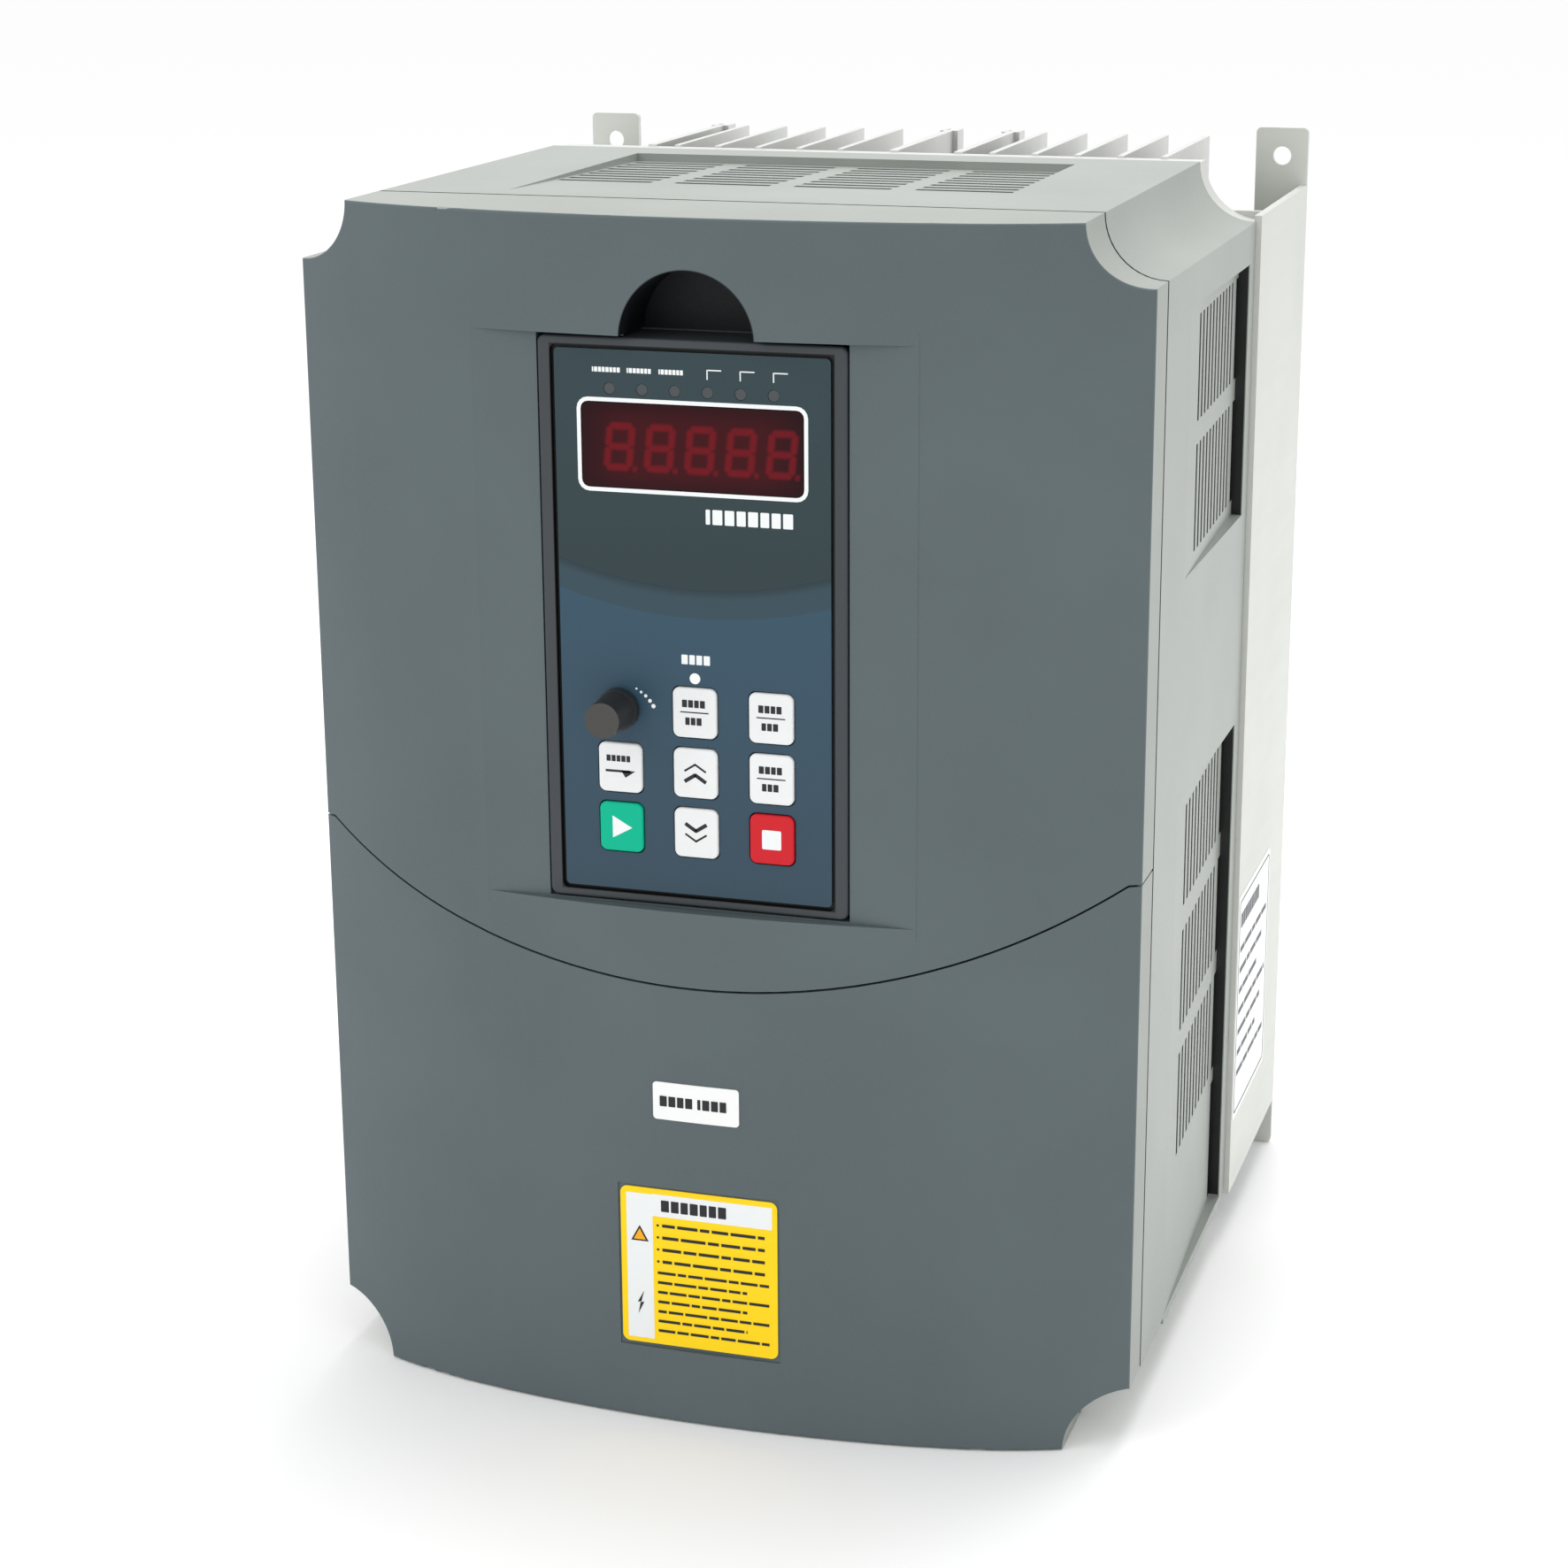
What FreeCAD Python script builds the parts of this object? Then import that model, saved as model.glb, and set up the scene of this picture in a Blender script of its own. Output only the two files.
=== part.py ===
"""Variable frequency drive for wall or panel mounting, in millimetres.

X runs to the right, Y runs back to the wall and Z runs up. The wall is the plane y = 0 and the
origin is the centre of the four mounting holes in it. Every place below is given as X, as the
distance in front of the wall (so y = -distance) and as the height above the underside; one shared
placement at the end then lowers each sub-part so that the height is counted from the origin.
"""

import FreeCAD, Part
import math
import os
import re

import Sketcher
from FreeCAD import Placement, Rotation, Vector

doc = FreeCAD.newDocument("frequency_drive")

# ---------------------------------------------------------------------------------------------
# Driving dimensions: alias, value in millimetres (or degrees, or a count), meaning
# ---------------------------------------------------------------------------------------------
SIZES = [
    ("width", 220.0, "width over the housing and covers"),
    ("height", 316.0, "height of the housing and covers"),
    ("scallop_radius", 15.8, "hollow corners that clear a screwdriver"),
    ("sink_depth", 80.0, "wall to the back edge of the housing"),
    ("housing_depth", 122.0, "housing, back edge to front edge"),
    ("skirt_depth", 14.4, "front covers, skirt along the sides"),
    ("bulge_centre", 21.4, "front face, rise at the middle"),
    ("bulge_shoulder", 17.4, "front face, rise at the facet"),
    ("shoulder_half", 56.5, "half width of the middle arc"),
    ("facet_width", 4.0, "narrow flat beside the middle arc"),
    ("facet_drop", 0.75, "fall of the front face over the facet"),
    ("side_rise", 2.6, "crown of the outer arcs over their chord"),
    ("wall", 3.0, "cover wall"),
    ("housing_wall", 2.6, "housing wall"),
    ("seam_gap", 0.6, "visible gap between covers and housing"),
    ("seam_side", 153.0, "height of the cover split at the sides"),
    ("seam_low", 121.8, "height of the cover split at the middle"),
    ("seam_half", 107.0, "half width of the arc of the split"),
    ("lip_reach", 4.0, "cover lip inside the housing"),
    ("lip_thick", 1.6, "cover lip wall"),
    ("corner_round", 1.0, "rounding along the front edges"),
    # keypad and its pocket
    ("keypad_width", 79.0, "keypad case"),
    ("keypad_height", 143.5, "keypad case"),
    ("keypad_bottom", 142.8, "underside of the keypad"),
    ("keypad_depth", 15.0, "keypad case, front to back"),
    ("keypad_proud", 0.6, "keypad face in front of its pocket"),
    ("keypad_clear", 0.4, "clearance round the keypad in its well"),
    ("keypad_wall", 2.0, "keypad case wall"),
    ("keypad_round", 2.0, "keypad corner radius"),
    ("pocket_half", 57.0, "half width of the flat keypad pocket"),
    ("pocket_margin", 0.8, "pocket above and below the keypad"),
    ("well_wall", 2.4, "wall of the keypad well"),
    ("scoop_radius", 17.1, "finger scoop above the keypad"),
    ("overlay_side", 4.2, "printed overlay from the sides of the case"),
    ("overlay_end", 3.05, "printed overlay from the ends of the case"),
    ("overlay_thick", 1.0, "printed overlay"),
    ("overlay_sunk", 0.4, "overlay face behind the case face"),
    ("overlay_gap", 0.9, "groove round the overlay"),
    ("window_width", 56.8, "display window"),
    ("window_height", 20.9, "display window"),
    ("window_centre", 259.8, "display window, height of its middle"),
    ("window_clear", 0.15, "window in its opening"),
    ("lamp_pitch", 8.4, "spacing of the six indicator lamps"),
    ("lamp_level", 273.7, "height of the indicator lamps"),
    ("lamp_radius", 1.4, "indicator lamps"),
    ("trip_level", 202.2, "height of the fault lamp"),
    ("key_width", 11.5, "keys"),
    ("key_height", 12.8, "keys"),
    ("key_round", 1.8, "keys, corner radius"),
    ("key_pitch", 19.9, "keys, spacing across"),
    ("key_row", 15.6, "keys, spacing up"),
    ("key_low", 162.3, "middle of the lowest row of keys"),
    ("key_clear", 0.35, "key in its opening"),
    ("key_proud", 0.7, "key face in front of the overlay"),
    ("key_travel", 0.5, "key stroke"),
    ("knob_radius", 5.3, "speed knob at its foot"),
    ("knob_tip", 4.5, "speed knob at its front"),
    ("knob_length", 12.4, "speed knob"),
    ("knob_lift", 0.7, "speed knob in front of the overlay"),
    ("spindle_radius", 3.0, "speed knob spindle"),
    ("spindle_fit", 0.05, "spindle in its bush"),
    # labels
    ("caution_half", 21.4, "caution label, half width"),
    ("caution_low", 21.6, "caution label, lower edge"),
    ("caution_tall", 44.0, "caution label"),
    ("caution_sunk", 1.0, "recess for the caution label below the crown"),
    ("label_thick", 0.3, "labels"),
    ("rating_half", 11.6, "rating label, half width"),
    ("rating_low", 85.6, "rating label, lower edge"),
    ("rating_tall", 10.2, "rating label"),
    ("plate_label_wide", 53.0, "nameplate label on the side plate"),
    ("plate_label_tall", 69.0, "nameplate label on the side plate"),
    ("plate_label_low", 37.0, "nameplate label, lower edge"),
    # heat sink and chassis
    ("base_thick", 11.0, "heat sink base plate"),
    ("base_inset", 0.6, "base plate inside the outline of the housing"),
    ("fin_thick", 1.8, "cooling fins"),
    ("fin_pitch", 12.2, "cooling fins"),
    ("fin_short", 6.0, "fins end before the wall by this much"),
    ("rib_thick", 2.6, "ribs with screw slots"),
    ("rib_head", 5.4, "head of such a rib"),
    ("rib_short", 1.5, "ribs end before the wall by this much"),
    ("fin_start", 46.0, "height where the fins begin, above the fans"),
    ("left_fins", -59.8, "first fin of the left group"),
    ("right_fins", 33.5, "first fin of the right group"),
    ("plate_gauge", 2.0, "side plate sheet"),
    ("plate_clear", 0.1, "side plate beside the base plate"),
    ("plate_end", 14.2, "side plate ends before the corners by this"),
    ("ear_width", 15.2, "mounting ears"),
    ("ear_rise", 2.4, "ears above the top of the housing"),
    ("ear_hole_side", 7.5, "mounting hole from the outer edge"),
    ("ear_hole_end", 8.1, "mounting hole from the end of the ear"),
    ("ear_hole_radius", 2.7, "mounting holes"),
    ("flange_width", 14.0, "front flange of the side plates"),
    # fans
    ("fan_size", 60.0, "cooling fans"),
    ("fan_thick", 25.0, "cooling fans"),
    ("fan_duct", 28.4, "fan duct radius"),
    ("fan_tip", 27.6, "fan blade tip radius"),
    ("fan_hub", 12.5, "fan hub radius"),
    ("fan_half_space", 34.0, "fan centres from the middle"),
    ("fan_centre", 35.5, "fan centres in front of the wall"),
    ("fan_level", 17.5, "height of the fan tray"),
    ("tray_gauge", 1.5, "fan tray sheet"),
    ("axle_radius", 1.5, "fan axle"),
    ("axle_fit", 0.05, "fan axle in its bush"),
    ("blade_angle", 38.0, "fan blades"),
    ("blade_thick", 1.4, "fan blades"),
    # vents
    ("slot_length", 26.0, "top vent slots"),
    ("slot_space", 6.5, "between blocks of top slots"),
    ("slot_width", 3.4, "top vent slots"),
    ("slot_pitch", 7.3, "top vent slots"),
    ("slot_first", 5.6, "first top slot in front of the deep end"),
    ("top_flush", 24.0, "top recess starts behind the front edge"),
    ("top_deep", 15.4, "top recess ends in front of the housing back"),
    ("top_drop", 2.2, "top recess at its deep end"),
    ("side_slot_width", 2.6, "side vent slots"),
    ("side_slot_pitch", 5.7, "side vent slots"),
    ("side_slot_first", 11.0, "first side slot in front of the deep end"),
    ("side_flush", 45.0, "side recess starts behind the front edge"),
    ("side_deep", 7.4, "side recess ends in front of the housing back"),
    ("side_drop", 3.0, "side recess at its deep end"),
    ("vent_gap", 4.0, "open gap at the deep end of a recess"),
    # circuit
    ("board_thick", 1.6, "circuit boards"),
    ("power_board_back", 34.0, "power board behind the front edge of the housing"),
    ("control_board_back", 16.0, "control board behind the front edge of the housing"),
    ("can_radius", 25.0, "capacitor cans"),
    ("can_spacing", 60.0, "capacitor cans, across"),
    ("can_rise", 56.0, "capacitor cans, up"),
    ("can_low", 214.0, "lower row of cans"),
    ("module_half", 61.0, "power module, half width"),
    ("module_low", 118.0, "power module, lower edge"),
    ("module_tall", 62.0, "power module"),
    ("module_thick", 17.0, "power module"),
    ("terminal_half", 86.0, "power terminals, half width"),
    ("terminal_low", 40.0, "power terminals, lower edge"),
    ("terminal_tall", 26.0, "power terminals"),
    ("terminal_front", 112.0, "power terminals in front of the wall"),
    ("terminal_pitch", 19.0, "power terminals"),
    ("busbar_wide", 12.0, "copper bars"),
    ("busbar_thick", 2.0, "copper bars"),
    ("gland_radius", 15.0, "cable entries"),
    ("gland_pitch", 46.0, "cable entries"),
    ("gland_at", 150.0, "cable entries in front of the wall"),
    ("boss_side", 10.0, "housing screws from the sides"),
    ("pillar_side", 19.0, "power board pillars from the sides"),
    ("screw_radius", 2.0, "housing and plate screws"),
    ("screw_clear", 0.15, "screws in their holes"),
]

sheet = doc.addObject("Spreadsheet::Sheet", "sizes")
for row, (alias, value, meaning) in enumerate(SIZES, start=1):
    sheet.set(f"A{row}", meaning)
    sheet.set(f"B{row}", str(value))
    sheet.setAlias(f"B{row}", alias)
doc.recompute()
ALIASES = {alias for alias, value, meaning in SIZES}

# Planes that several sub-parts share, as expressions of the sizes
HOUSING_FRONT = "(sink_depth + housing_depth)"
COVER_BACK = "(sink_depth + housing_depth + seam_gap)"
FRONT = "(sink_depth + housing_depth + skirt_depth)"
CROWN = f"({FRONT} + bulge_centre)"
POCKET = f"({FRONT} + bulge_shoulder)"
KEYPAD_FACE = f"({POCKET} + keypad_proud)"
KEYPAD_BACK = f"({KEYPAD_FACE} - keypad_depth)"
WELL_FLOOR = f"({KEYPAD_BACK} - keypad_clear)"
OVERLAY_FACE = f"({KEYPAD_FACE} - overlay_sunk)"
OVERLAY_BACK = f"({OVERLAY_FACE} - overlay_thick)"
KEYPAD_TOP = "(keypad_bottom + keypad_height)"
KEYPAD_MIDDLE = "(keypad_bottom + keypad_height/2)"
OVERLAY_WIDTH = "(keypad_width - 2*overlay_side)"
OVERLAY_HEIGHT = "(keypad_height - 2*overlay_end)"
BASE_BACK = "(sink_depth - base_thick)"
PLATE_INNER = "(width/2 - base_inset + plate_clear)"
PLATE_OUTER = f"({PLATE_INNER} + plate_gauge)"
CAUTION_PLANE = f"({CROWN} - caution_sunk)"
KEY_FACE = f"({OVERLAY_FACE} + key_proud)"
POWER_BACK = f"({HOUSING_FRONT} - power_board_back)"
POWER_FRONT = f"({POWER_BACK} + board_thick)"
CONTROL_BACK = f"({HOUSING_FRONT} - control_board_back)"
CONTROL_FRONT = f"({CONTROL_BACK} + board_thick)"


def spell(text):
    """Write an expression for the document: each size becomes a reference to its cell."""
    def refer(match):
        word = match.group()
        return "sizes." + word if word in ALIASES else word
    return re.sub(r"[a-z_]+", refer, str(text))


def amount(text):
    return float(sheet.evalExpression(spell(text)))


def bind(thing, path, text):
    thing.setExpression(path, spell(text))


# ---------------------------------------------------------------------------------------------
# Drawing tools
# ---------------------------------------------------------------------------------------------
# Each plane: its turn, the sign of its first coordinate against the distance, its origin plane
TURNS = {
    "front": Rotation(Vector(1, 0, 0), 90),
    "plan": Rotation(),
    "side": Rotation(Vector(1, 1, 1), 120),
}
ROLES = {"front": "XZ_Plane", "plan": "XY_Plane", "side": "YZ_Plane"}


def place_on(plane, point):
    """Sketch coordinates of a point: (x, z) in front, (x, distance) in plan, (distance, z) aside."""
    first, second = point
    if plane == "plan":
        return first, f"-({second})"
    if plane == "side":
        return f"-({first})", second
    return first, second


def arc_through(start, middle, end):
    """An arc that runs anticlockwise, and whether that runs from start to end."""
    centre = Part.Arc(start, middle, end).toShape().Curve.Center
    circle = Part.Circle(centre, Vector(0, 0, 1), (start - centre).Length)
    forward = (middle - start).cross(end - middle).z > 0
    first, last = (start, end) if forward else (end, start)
    begin = math.atan2(first.y - centre.y, first.x - centre.x)
    finish = math.atan2(last.y - centre.y, last.x - centre.x)
    if finish < begin:
        finish += 2 * math.pi
    return Part.ArcOfCircle(circle, begin, finish), forward


def draw(sketch, plane, loops):
    """Fill a sketch with closed loops, each point held by its two distances from the origin.

    A loop is a list of corners (first, second); a corner with a third entry is reached by an
    arc through that further point. A circle is ("circle", first, second, radius).
    """
    for loop in loops:
        if loop[0] == "circle":
            draw_circle(sketch, plane, loop)
        else:
            draw_loop(sketch, plane, loop)


def draw_circle(sketch, plane, loop):
    first, second = place_on(plane, loop[1:3])
    spot = Vector(amount(first), amount(second), 0)
    index = sketch.addGeometry(Part.Circle(spot, Vector(0, 0, 1), amount(loop[3])), False)
    hold(sketch, "DistanceX", (-1, 1, index, 3), first)
    hold(sketch, "DistanceY", (-1, 1, index, 3), second)
    hold(sketch, "Radius", (index,), loop[3])


def draw_loop(sketch, plane, loop):
    corners = [place_on(plane, corner[:2]) for corner in loop]
    spots = [Vector(amount(first), amount(second), 0) for first, second in corners]
    edges = []
    for number, corner in enumerate(loop):
        start, end = spots[number - 1], spots[number]
        forward = True
        if len(corner) > 2:
            via = place_on(plane, corner[2])
            middle = Vector(amount(via[0]), amount(via[1]), 0)
            arc, forward = arc_through(start, middle, end)
            index = sketch.addGeometry(arc, False)
            point = sketch.addGeometry(Part.Point(middle), True)
            hold(sketch, "DistanceX", (-1, 1, point, 1), via[0])
            hold(sketch, "DistanceY", (-1, 1, point, 1), via[1])
            sketch.addConstraint(Sketcher.Constraint("PointOnObject", point, 1, index))
        else:
            index = sketch.addGeometry(Part.LineSegment(start, end), False)
        edges.append((index, (1, 2) if forward else (2, 1)))
    for number, (index, ends) in enumerate(edges):
        before, before_ends = edges[number - 1]
        meeting = (before, before_ends[1], index, ends[0])
        sketch.addConstraint(Sketcher.Constraint("Coincident", *meeting))
        hold(sketch, "DistanceX", (-1, 1, index, ends[1]), corners[number][0])
        hold(sketch, "DistanceY", (-1, 1, index, ends[1]), corners[number][1])


def hold(sketch, kind, places, text):
    number = sketch.addConstraint(Sketcher.Constraint(kind, *places, amount(text)))
    bind(sketch, f"Constraints[{number}]", text)


def prism(name, plane, loops, span):
    """A solid drawn on a plane and carried across it from one distance to another."""
    sketch = doc.addObject("Sketcher::SketchObject", name + "_sketch")
    sketch.Placement = Placement(Vector(), TURNS[plane])
    axis, sign = {"front": ("y", "-"), "plan": ("z", ""), "side": ("x", "")}[plane]
    bind(sketch, "Placement.Base." + axis, f"{sign}({span[0]})")
    draw(sketch, plane, loops)
    solid = doc.addObject("Part::Extrusion", name)
    solid.Base = sketch
    solid.DirMode = "Normal"
    solid.Solid = True
    bind(solid, "LengthFwd", f"({span[1]}) - ({span[0]})")
    return solid


def box(name, across, out, up):
    """A block between two values of X, two distances before the wall and two heights."""
    block = doc.addObject("Part::Box", name)
    bind(block, "Length", f"({across[1]}) - ({across[0]})")
    bind(block, "Width", f"({out[1]}) - ({out[0]})")
    bind(block, "Height", f"({up[1]}) - ({up[0]})")
    bind(block, "Placement.Base.x", across[0])
    bind(block, "Placement.Base.y", f"-({out[1]})")
    bind(block, "Placement.Base.z", up[0])
    return block


ALONG = {
    "front": Rotation(Vector(1, 0, 0), 90),
    "up": Rotation(),
    "across": Rotation(Vector(0, 1, 0), 90),
}


def rod(name, along, centre, radius, span, tip=None):
    """A cylinder, or a cone where it has a tip radius, between two places along one axis.

    The centre is (x, z) for a rod to the front, (x, distance) upwards, (distance, z) across.
    """
    kind = "Part::Cylinder" if tip is None else "Part::Cone"
    bar = doc.addObject(kind, name)
    bar.Placement = Placement(Vector(), ALONG[along])
    if tip is None:
        bind(bar, "Radius", radius)
    else:
        bind(bar, "Radius1", radius)
        bind(bar, "Radius2", tip)
    bind(bar, "Height", f"({span[1]}) - ({span[0]})")
    first, second = centre
    places = {
        "front": (first, f"-({span[0]})", second),
        "up": (first, f"-({second})", span[0]),
        "across": (span[0], f"-({first})", second),
    }[along]
    for axis, text in zip("xyz", places):
        bind(bar, "Placement.Base." + axis, text)
    return bar


def fuse(name, pieces):
    whole = doc.addObject("Part::MultiFuse", name)
    whole.Shapes = pieces
    whole.Refine = True
    return whole


def several(name, pieces):
    """Separate solids kept side by side in one object."""
    group = doc.addObject("Part::Compound", name)
    group.Links = pieces
    return group


def cut(name, base, tools, separate=False):
    """A piece less its tools; tools that stand clear of each other need no joining first."""
    tool = tools[0]
    if len(tools) > 1:
        tool = several(name + "_tools", tools) if separate else fuse(name + "_tools", tools)
    rest = doc.addObject("Part::Cut", name)
    rest.Base = base
    rest.Tool = tool
    rest.Refine = True
    return rest


def overlap(name, first, second):
    both = doc.addObject("Part::Common", name)
    both.Base = first
    both.Tool = second
    both.Refine = True
    return both


NODES = {}


def node(label, thing):
    """Register a finished sub-part under the name of its file and lower it to the origin."""
    thing.Label = label
    own = [text for path, text in thing.ExpressionEngine if path.endswith("Placement.Base.z")]
    start = own[0] if own else "0"
    thing.setExpression("Placement.Base.z", f"({start}) - " + spell("(height + ear_rise)/2"))
    NODES[label] = thing
    return thing


# ---------------------------------------------------------------------------------------------
# Part Design tools
# ---------------------------------------------------------------------------------------------
def body(name):
    return doc.addObject("PartDesign::Body", name)


def body_sketch(host, name, plane, loops, at):
    """A sketch of a body, parallel to one of its origin planes and moved out to a distance."""
    sketch = host.newObject("Sketcher::SketchObject", name)
    features = host.Origin.OriginFeatures
    support = [feature for feature in features if feature.Role == ROLES[plane]][0]
    sketch.AttachmentSupport = (support, [""])
    sketch.MapMode = "FlatFace"
    bind(sketch, "AttachmentOffset.Base.z", at)
    draw(sketch, plane, loops)
    return sketch


def pad(host, name, plane, loops, span):
    feature = host.newObject("PartDesign::Pad", name)
    feature.Profile = body_sketch(host, name + "_sketch", plane, loops, span[0])
    bind(feature, "Length", f"({span[1]}) - ({span[0]})")
    return feature


def pocket(host, name, plane, loops, span):
    """Material taken out between two distances, both counted as for a pad."""
    feature = host.newObject("PartDesign::Pocket", name)
    feature.Profile = body_sketch(host, name + "_sketch", plane, loops, span[0])
    feature.Reversed = True
    bind(feature, "Length", f"({span[1]}) - ({span[0]})")
    return feature


def round_edges(host, name, radius, wanted):
    """Round the edges of a body that a test picks by their middle and direction."""
    doc.recompute()
    base = host.Tip
    chosen = []
    for number, edge in enumerate(base.Shape.Edges, start=1):
        middle = edge.valueAt((edge.FirstParameter + edge.LastParameter) / 2)
        run = edge.valueAt(edge.LastParameter) - edge.valueAt(edge.FirstParameter)
        if wanted(middle, run):
            chosen.append(f"Edge{number}")
    feature = host.newObject("PartDesign::Fillet", name)
    feature.Base = (base, chosen)
    bind(feature, "Radius", radius)
    return feature


def rectangle(across, up):
    return [(across[0], up[0]), (across[1], up[0]), (across[1], up[1]), (across[0], up[1])]


def around(middle, size):
    """The two ends of a size centred on a middle."""
    return f"({middle}) - ({size})/2", f"({middle}) + ({size})/2"


def softened(across, up, radius):
    """A rectangle with rounded corners."""
    left, right = across
    low, high = up
    near = f"({radius})*0.29289"
    return [
        (f"({left}) + ({radius})", low, (f"({left}) + {near}", f"({low}) + {near}")),
        (f"({right}) - ({radius})", low),
        (right, f"({low}) + ({radius})", (f"({right}) - {near}", f"({low}) + {near}")),
        (right, f"({high}) - ({radius})"),
        (f"({right}) - ({radius})", high, (f"({right}) - {near}", f"({high}) - {near}")),
        (f"({left}) + ({radius})", high),
        (left, f"({high}) - ({radius})", (f"({left}) + {near}", f"({high}) - {near}")),
        (left, f"({low}) + ({radius})"),
    ]


def scalloped(inset):
    """The front outline with its four hollow corners, moved inwards by an inset."""
    side = f"(width/2 - ({inset}))"
    radius = f"(scallop_radius + ({inset}))"
    run = f"sqrt({radius}^2 - ({inset})^2)"
    near = f"({radius}*0.70711)"
    end = f"(width/2 - {run})"
    middle = f"(width/2 - {near})"
    low, high = f"({inset})", f"(height - ({inset}))"
    return [
        (f"-{end}", low, (f"-{middle}", near)),
        (end, low),
        (side, run, (middle, near)),
        (side, f"height - {run}"),
        (end, high, (middle, f"height - {near}")),
        (f"-{end}", high),
        (f"-{side}", f"height - {run}", (f"-{middle}", f"height - {near}")),
        (f"-{side}", run),
    ]


def bulged(inset, back, side_inset=None):
    """The plan of the front covers: three arcs with a narrow facet between each two."""
    side = f"(width/2 - ({inset if side_inset is None else side_inset}))"
    edge = f"({FRONT} - ({inset}))"
    facet = f"({FRONT} + bulge_shoulder - facet_drop - ({inset}))"
    shoulder = f"({FRONT} + bulge_shoulder - ({inset}))"
    outer = "(shoulder_half + facet_width)"
    via_across = f"(({side} + {outer})/2)"
    via_out = f"(({edge} + {facet})/2 + side_rise)"
    return [
        (f"-{side}", back),
        (f"-{side}", edge),
        (f"-{outer}", facet, (f"-{via_across}", via_out)),
        ("-shoulder_half", shoulder),
        ("shoulder_half", shoulder, ("0", f"{CROWN} - ({inset})")),
        (outer, facet),
        (side, edge, (via_across, via_out)),
        (side, back),
    ]


# ---------------------------------------------------------------------------------------------
# Heat sink, side plates and fans
# ---------------------------------------------------------------------------------------------
FIN_COUNT = 5
RIB_PLACES = ["-67.5", "4.8", "23.7"]
BOSS_PLACES = [("-1", "26"), ("1", "26"), ("-1", "height - 26"), ("1", "height - 26")]
EARTH_PLACES = [("-64", "24"), ("64", "24")]
EAR_CENTRE = f"({PLATE_OUTER} - ear_hole_side)"
FLANGE_CENTRE = f"({PLATE_INNER} - flange_width/2)"
FLANGE_LEVELS = ["44", "height/2", "height - 44"]


def screw(name, along, centre, face, head, depth, sign="+"):
    """A cap screw: a head standing on a face, a shank going in behind it, a round recess."""
    radius, tall = head
    if sign == "+":
        outer, inner = (face, f"{face} + {tall}"), (f"{face} - {depth}", face)
        recess = (f"{face} + {tall}*0.45", f"{face} + {tall} + 1")
    else:
        outer, inner = (f"{face} - {tall}", face), (face, f"{face} + {depth}")
        recess = (f"{face} - {tall} - 1", f"{face} - {tall}*0.45")
    top = rod(name + "_head", along, centre, radius, outer)
    shank = rod(name + "_shank", along, centre, "screw_radius", inner)
    whole = fuse(name + "_blank", [top, shank])
    return cut(name, whole, [rod(name + "_recess", along, centre, f"{radius}*0.5", recess)])


def build_heatsink():
    """Base plate with the scalloped outline; fins and slotted ribs stand towards the wall."""
    base = prism("sink_base", "front", [scalloped("base_inset")], (BASE_BACK, "sink_depth"))
    fins = []
    for group in ("left_fins", "right_fins"):
        for number in range(FIN_COUNT):
            across = around(f"{group} + {number}*fin_pitch", "fin_thick")
            span = ("fin_short", f"{BASE_BACK} + 1")
            fins.append(box(f"fin_{group}_{number}", across, span, ("fin_start", "height")))
    for number, place in enumerate(RIB_PLACES):
        up = ("fin_start", "height")
        web = box(f"rib_{number}", around(place, "rib_thick"), ("rib_short", f"{BASE_BACK} + 1"), up)
        head = box(f"rib_head_{number}", around(place, "rib_head"), ("rib_short", "rib_short + 7"), up)
        slot = box(f"rib_slot_{number}", around(place, "rib_thick"), ("rib_short - 1", "rib_short + 5"),
                   ("fin_start - 1", "height + 1"))
        fins.append(cut(f"rib_cut_{number}", fuse(f"rib_blank_{number}", [web, head]), [slot]))
    blank = fuse("sink_blank", [base] + fins)
    holes = []
    for number, (side, level) in enumerate(BOSS_PLACES):
        centre = (f"{side}*(width/2 - boss_side)", level)
        span = ("sink_depth - 9", "sink_depth + 1")
        holes.append(rod(f"sink_hole_{number}", "front", centre, "screw_radius + screw_clear", span))
    for number, centre in enumerate(EARTH_PLACES):
        holes.append(rod(f"sink_earth_hole_{number}", "front", centre, "screw_radius + screw_clear",
                         ("sink_depth - 8", "sink_depth + 1")))
    for side in ("-1", "1"):
        for number, level in enumerate(FLANGE_LEVELS):
            centre = (f"{side}*{FLANGE_CENTRE}", level)
            span = (f"{BASE_BACK} - 1", f"{BASE_BACK} + 8")
            name = f"sink_flange_hole_{side.replace('-', 'm')}_{number}"
            holes.append(rod(name, "front", centre, "screw_radius + screw_clear", span))
    return node("heatsink", cut("heatsink_solid", blank, holes, separate=True))


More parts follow.
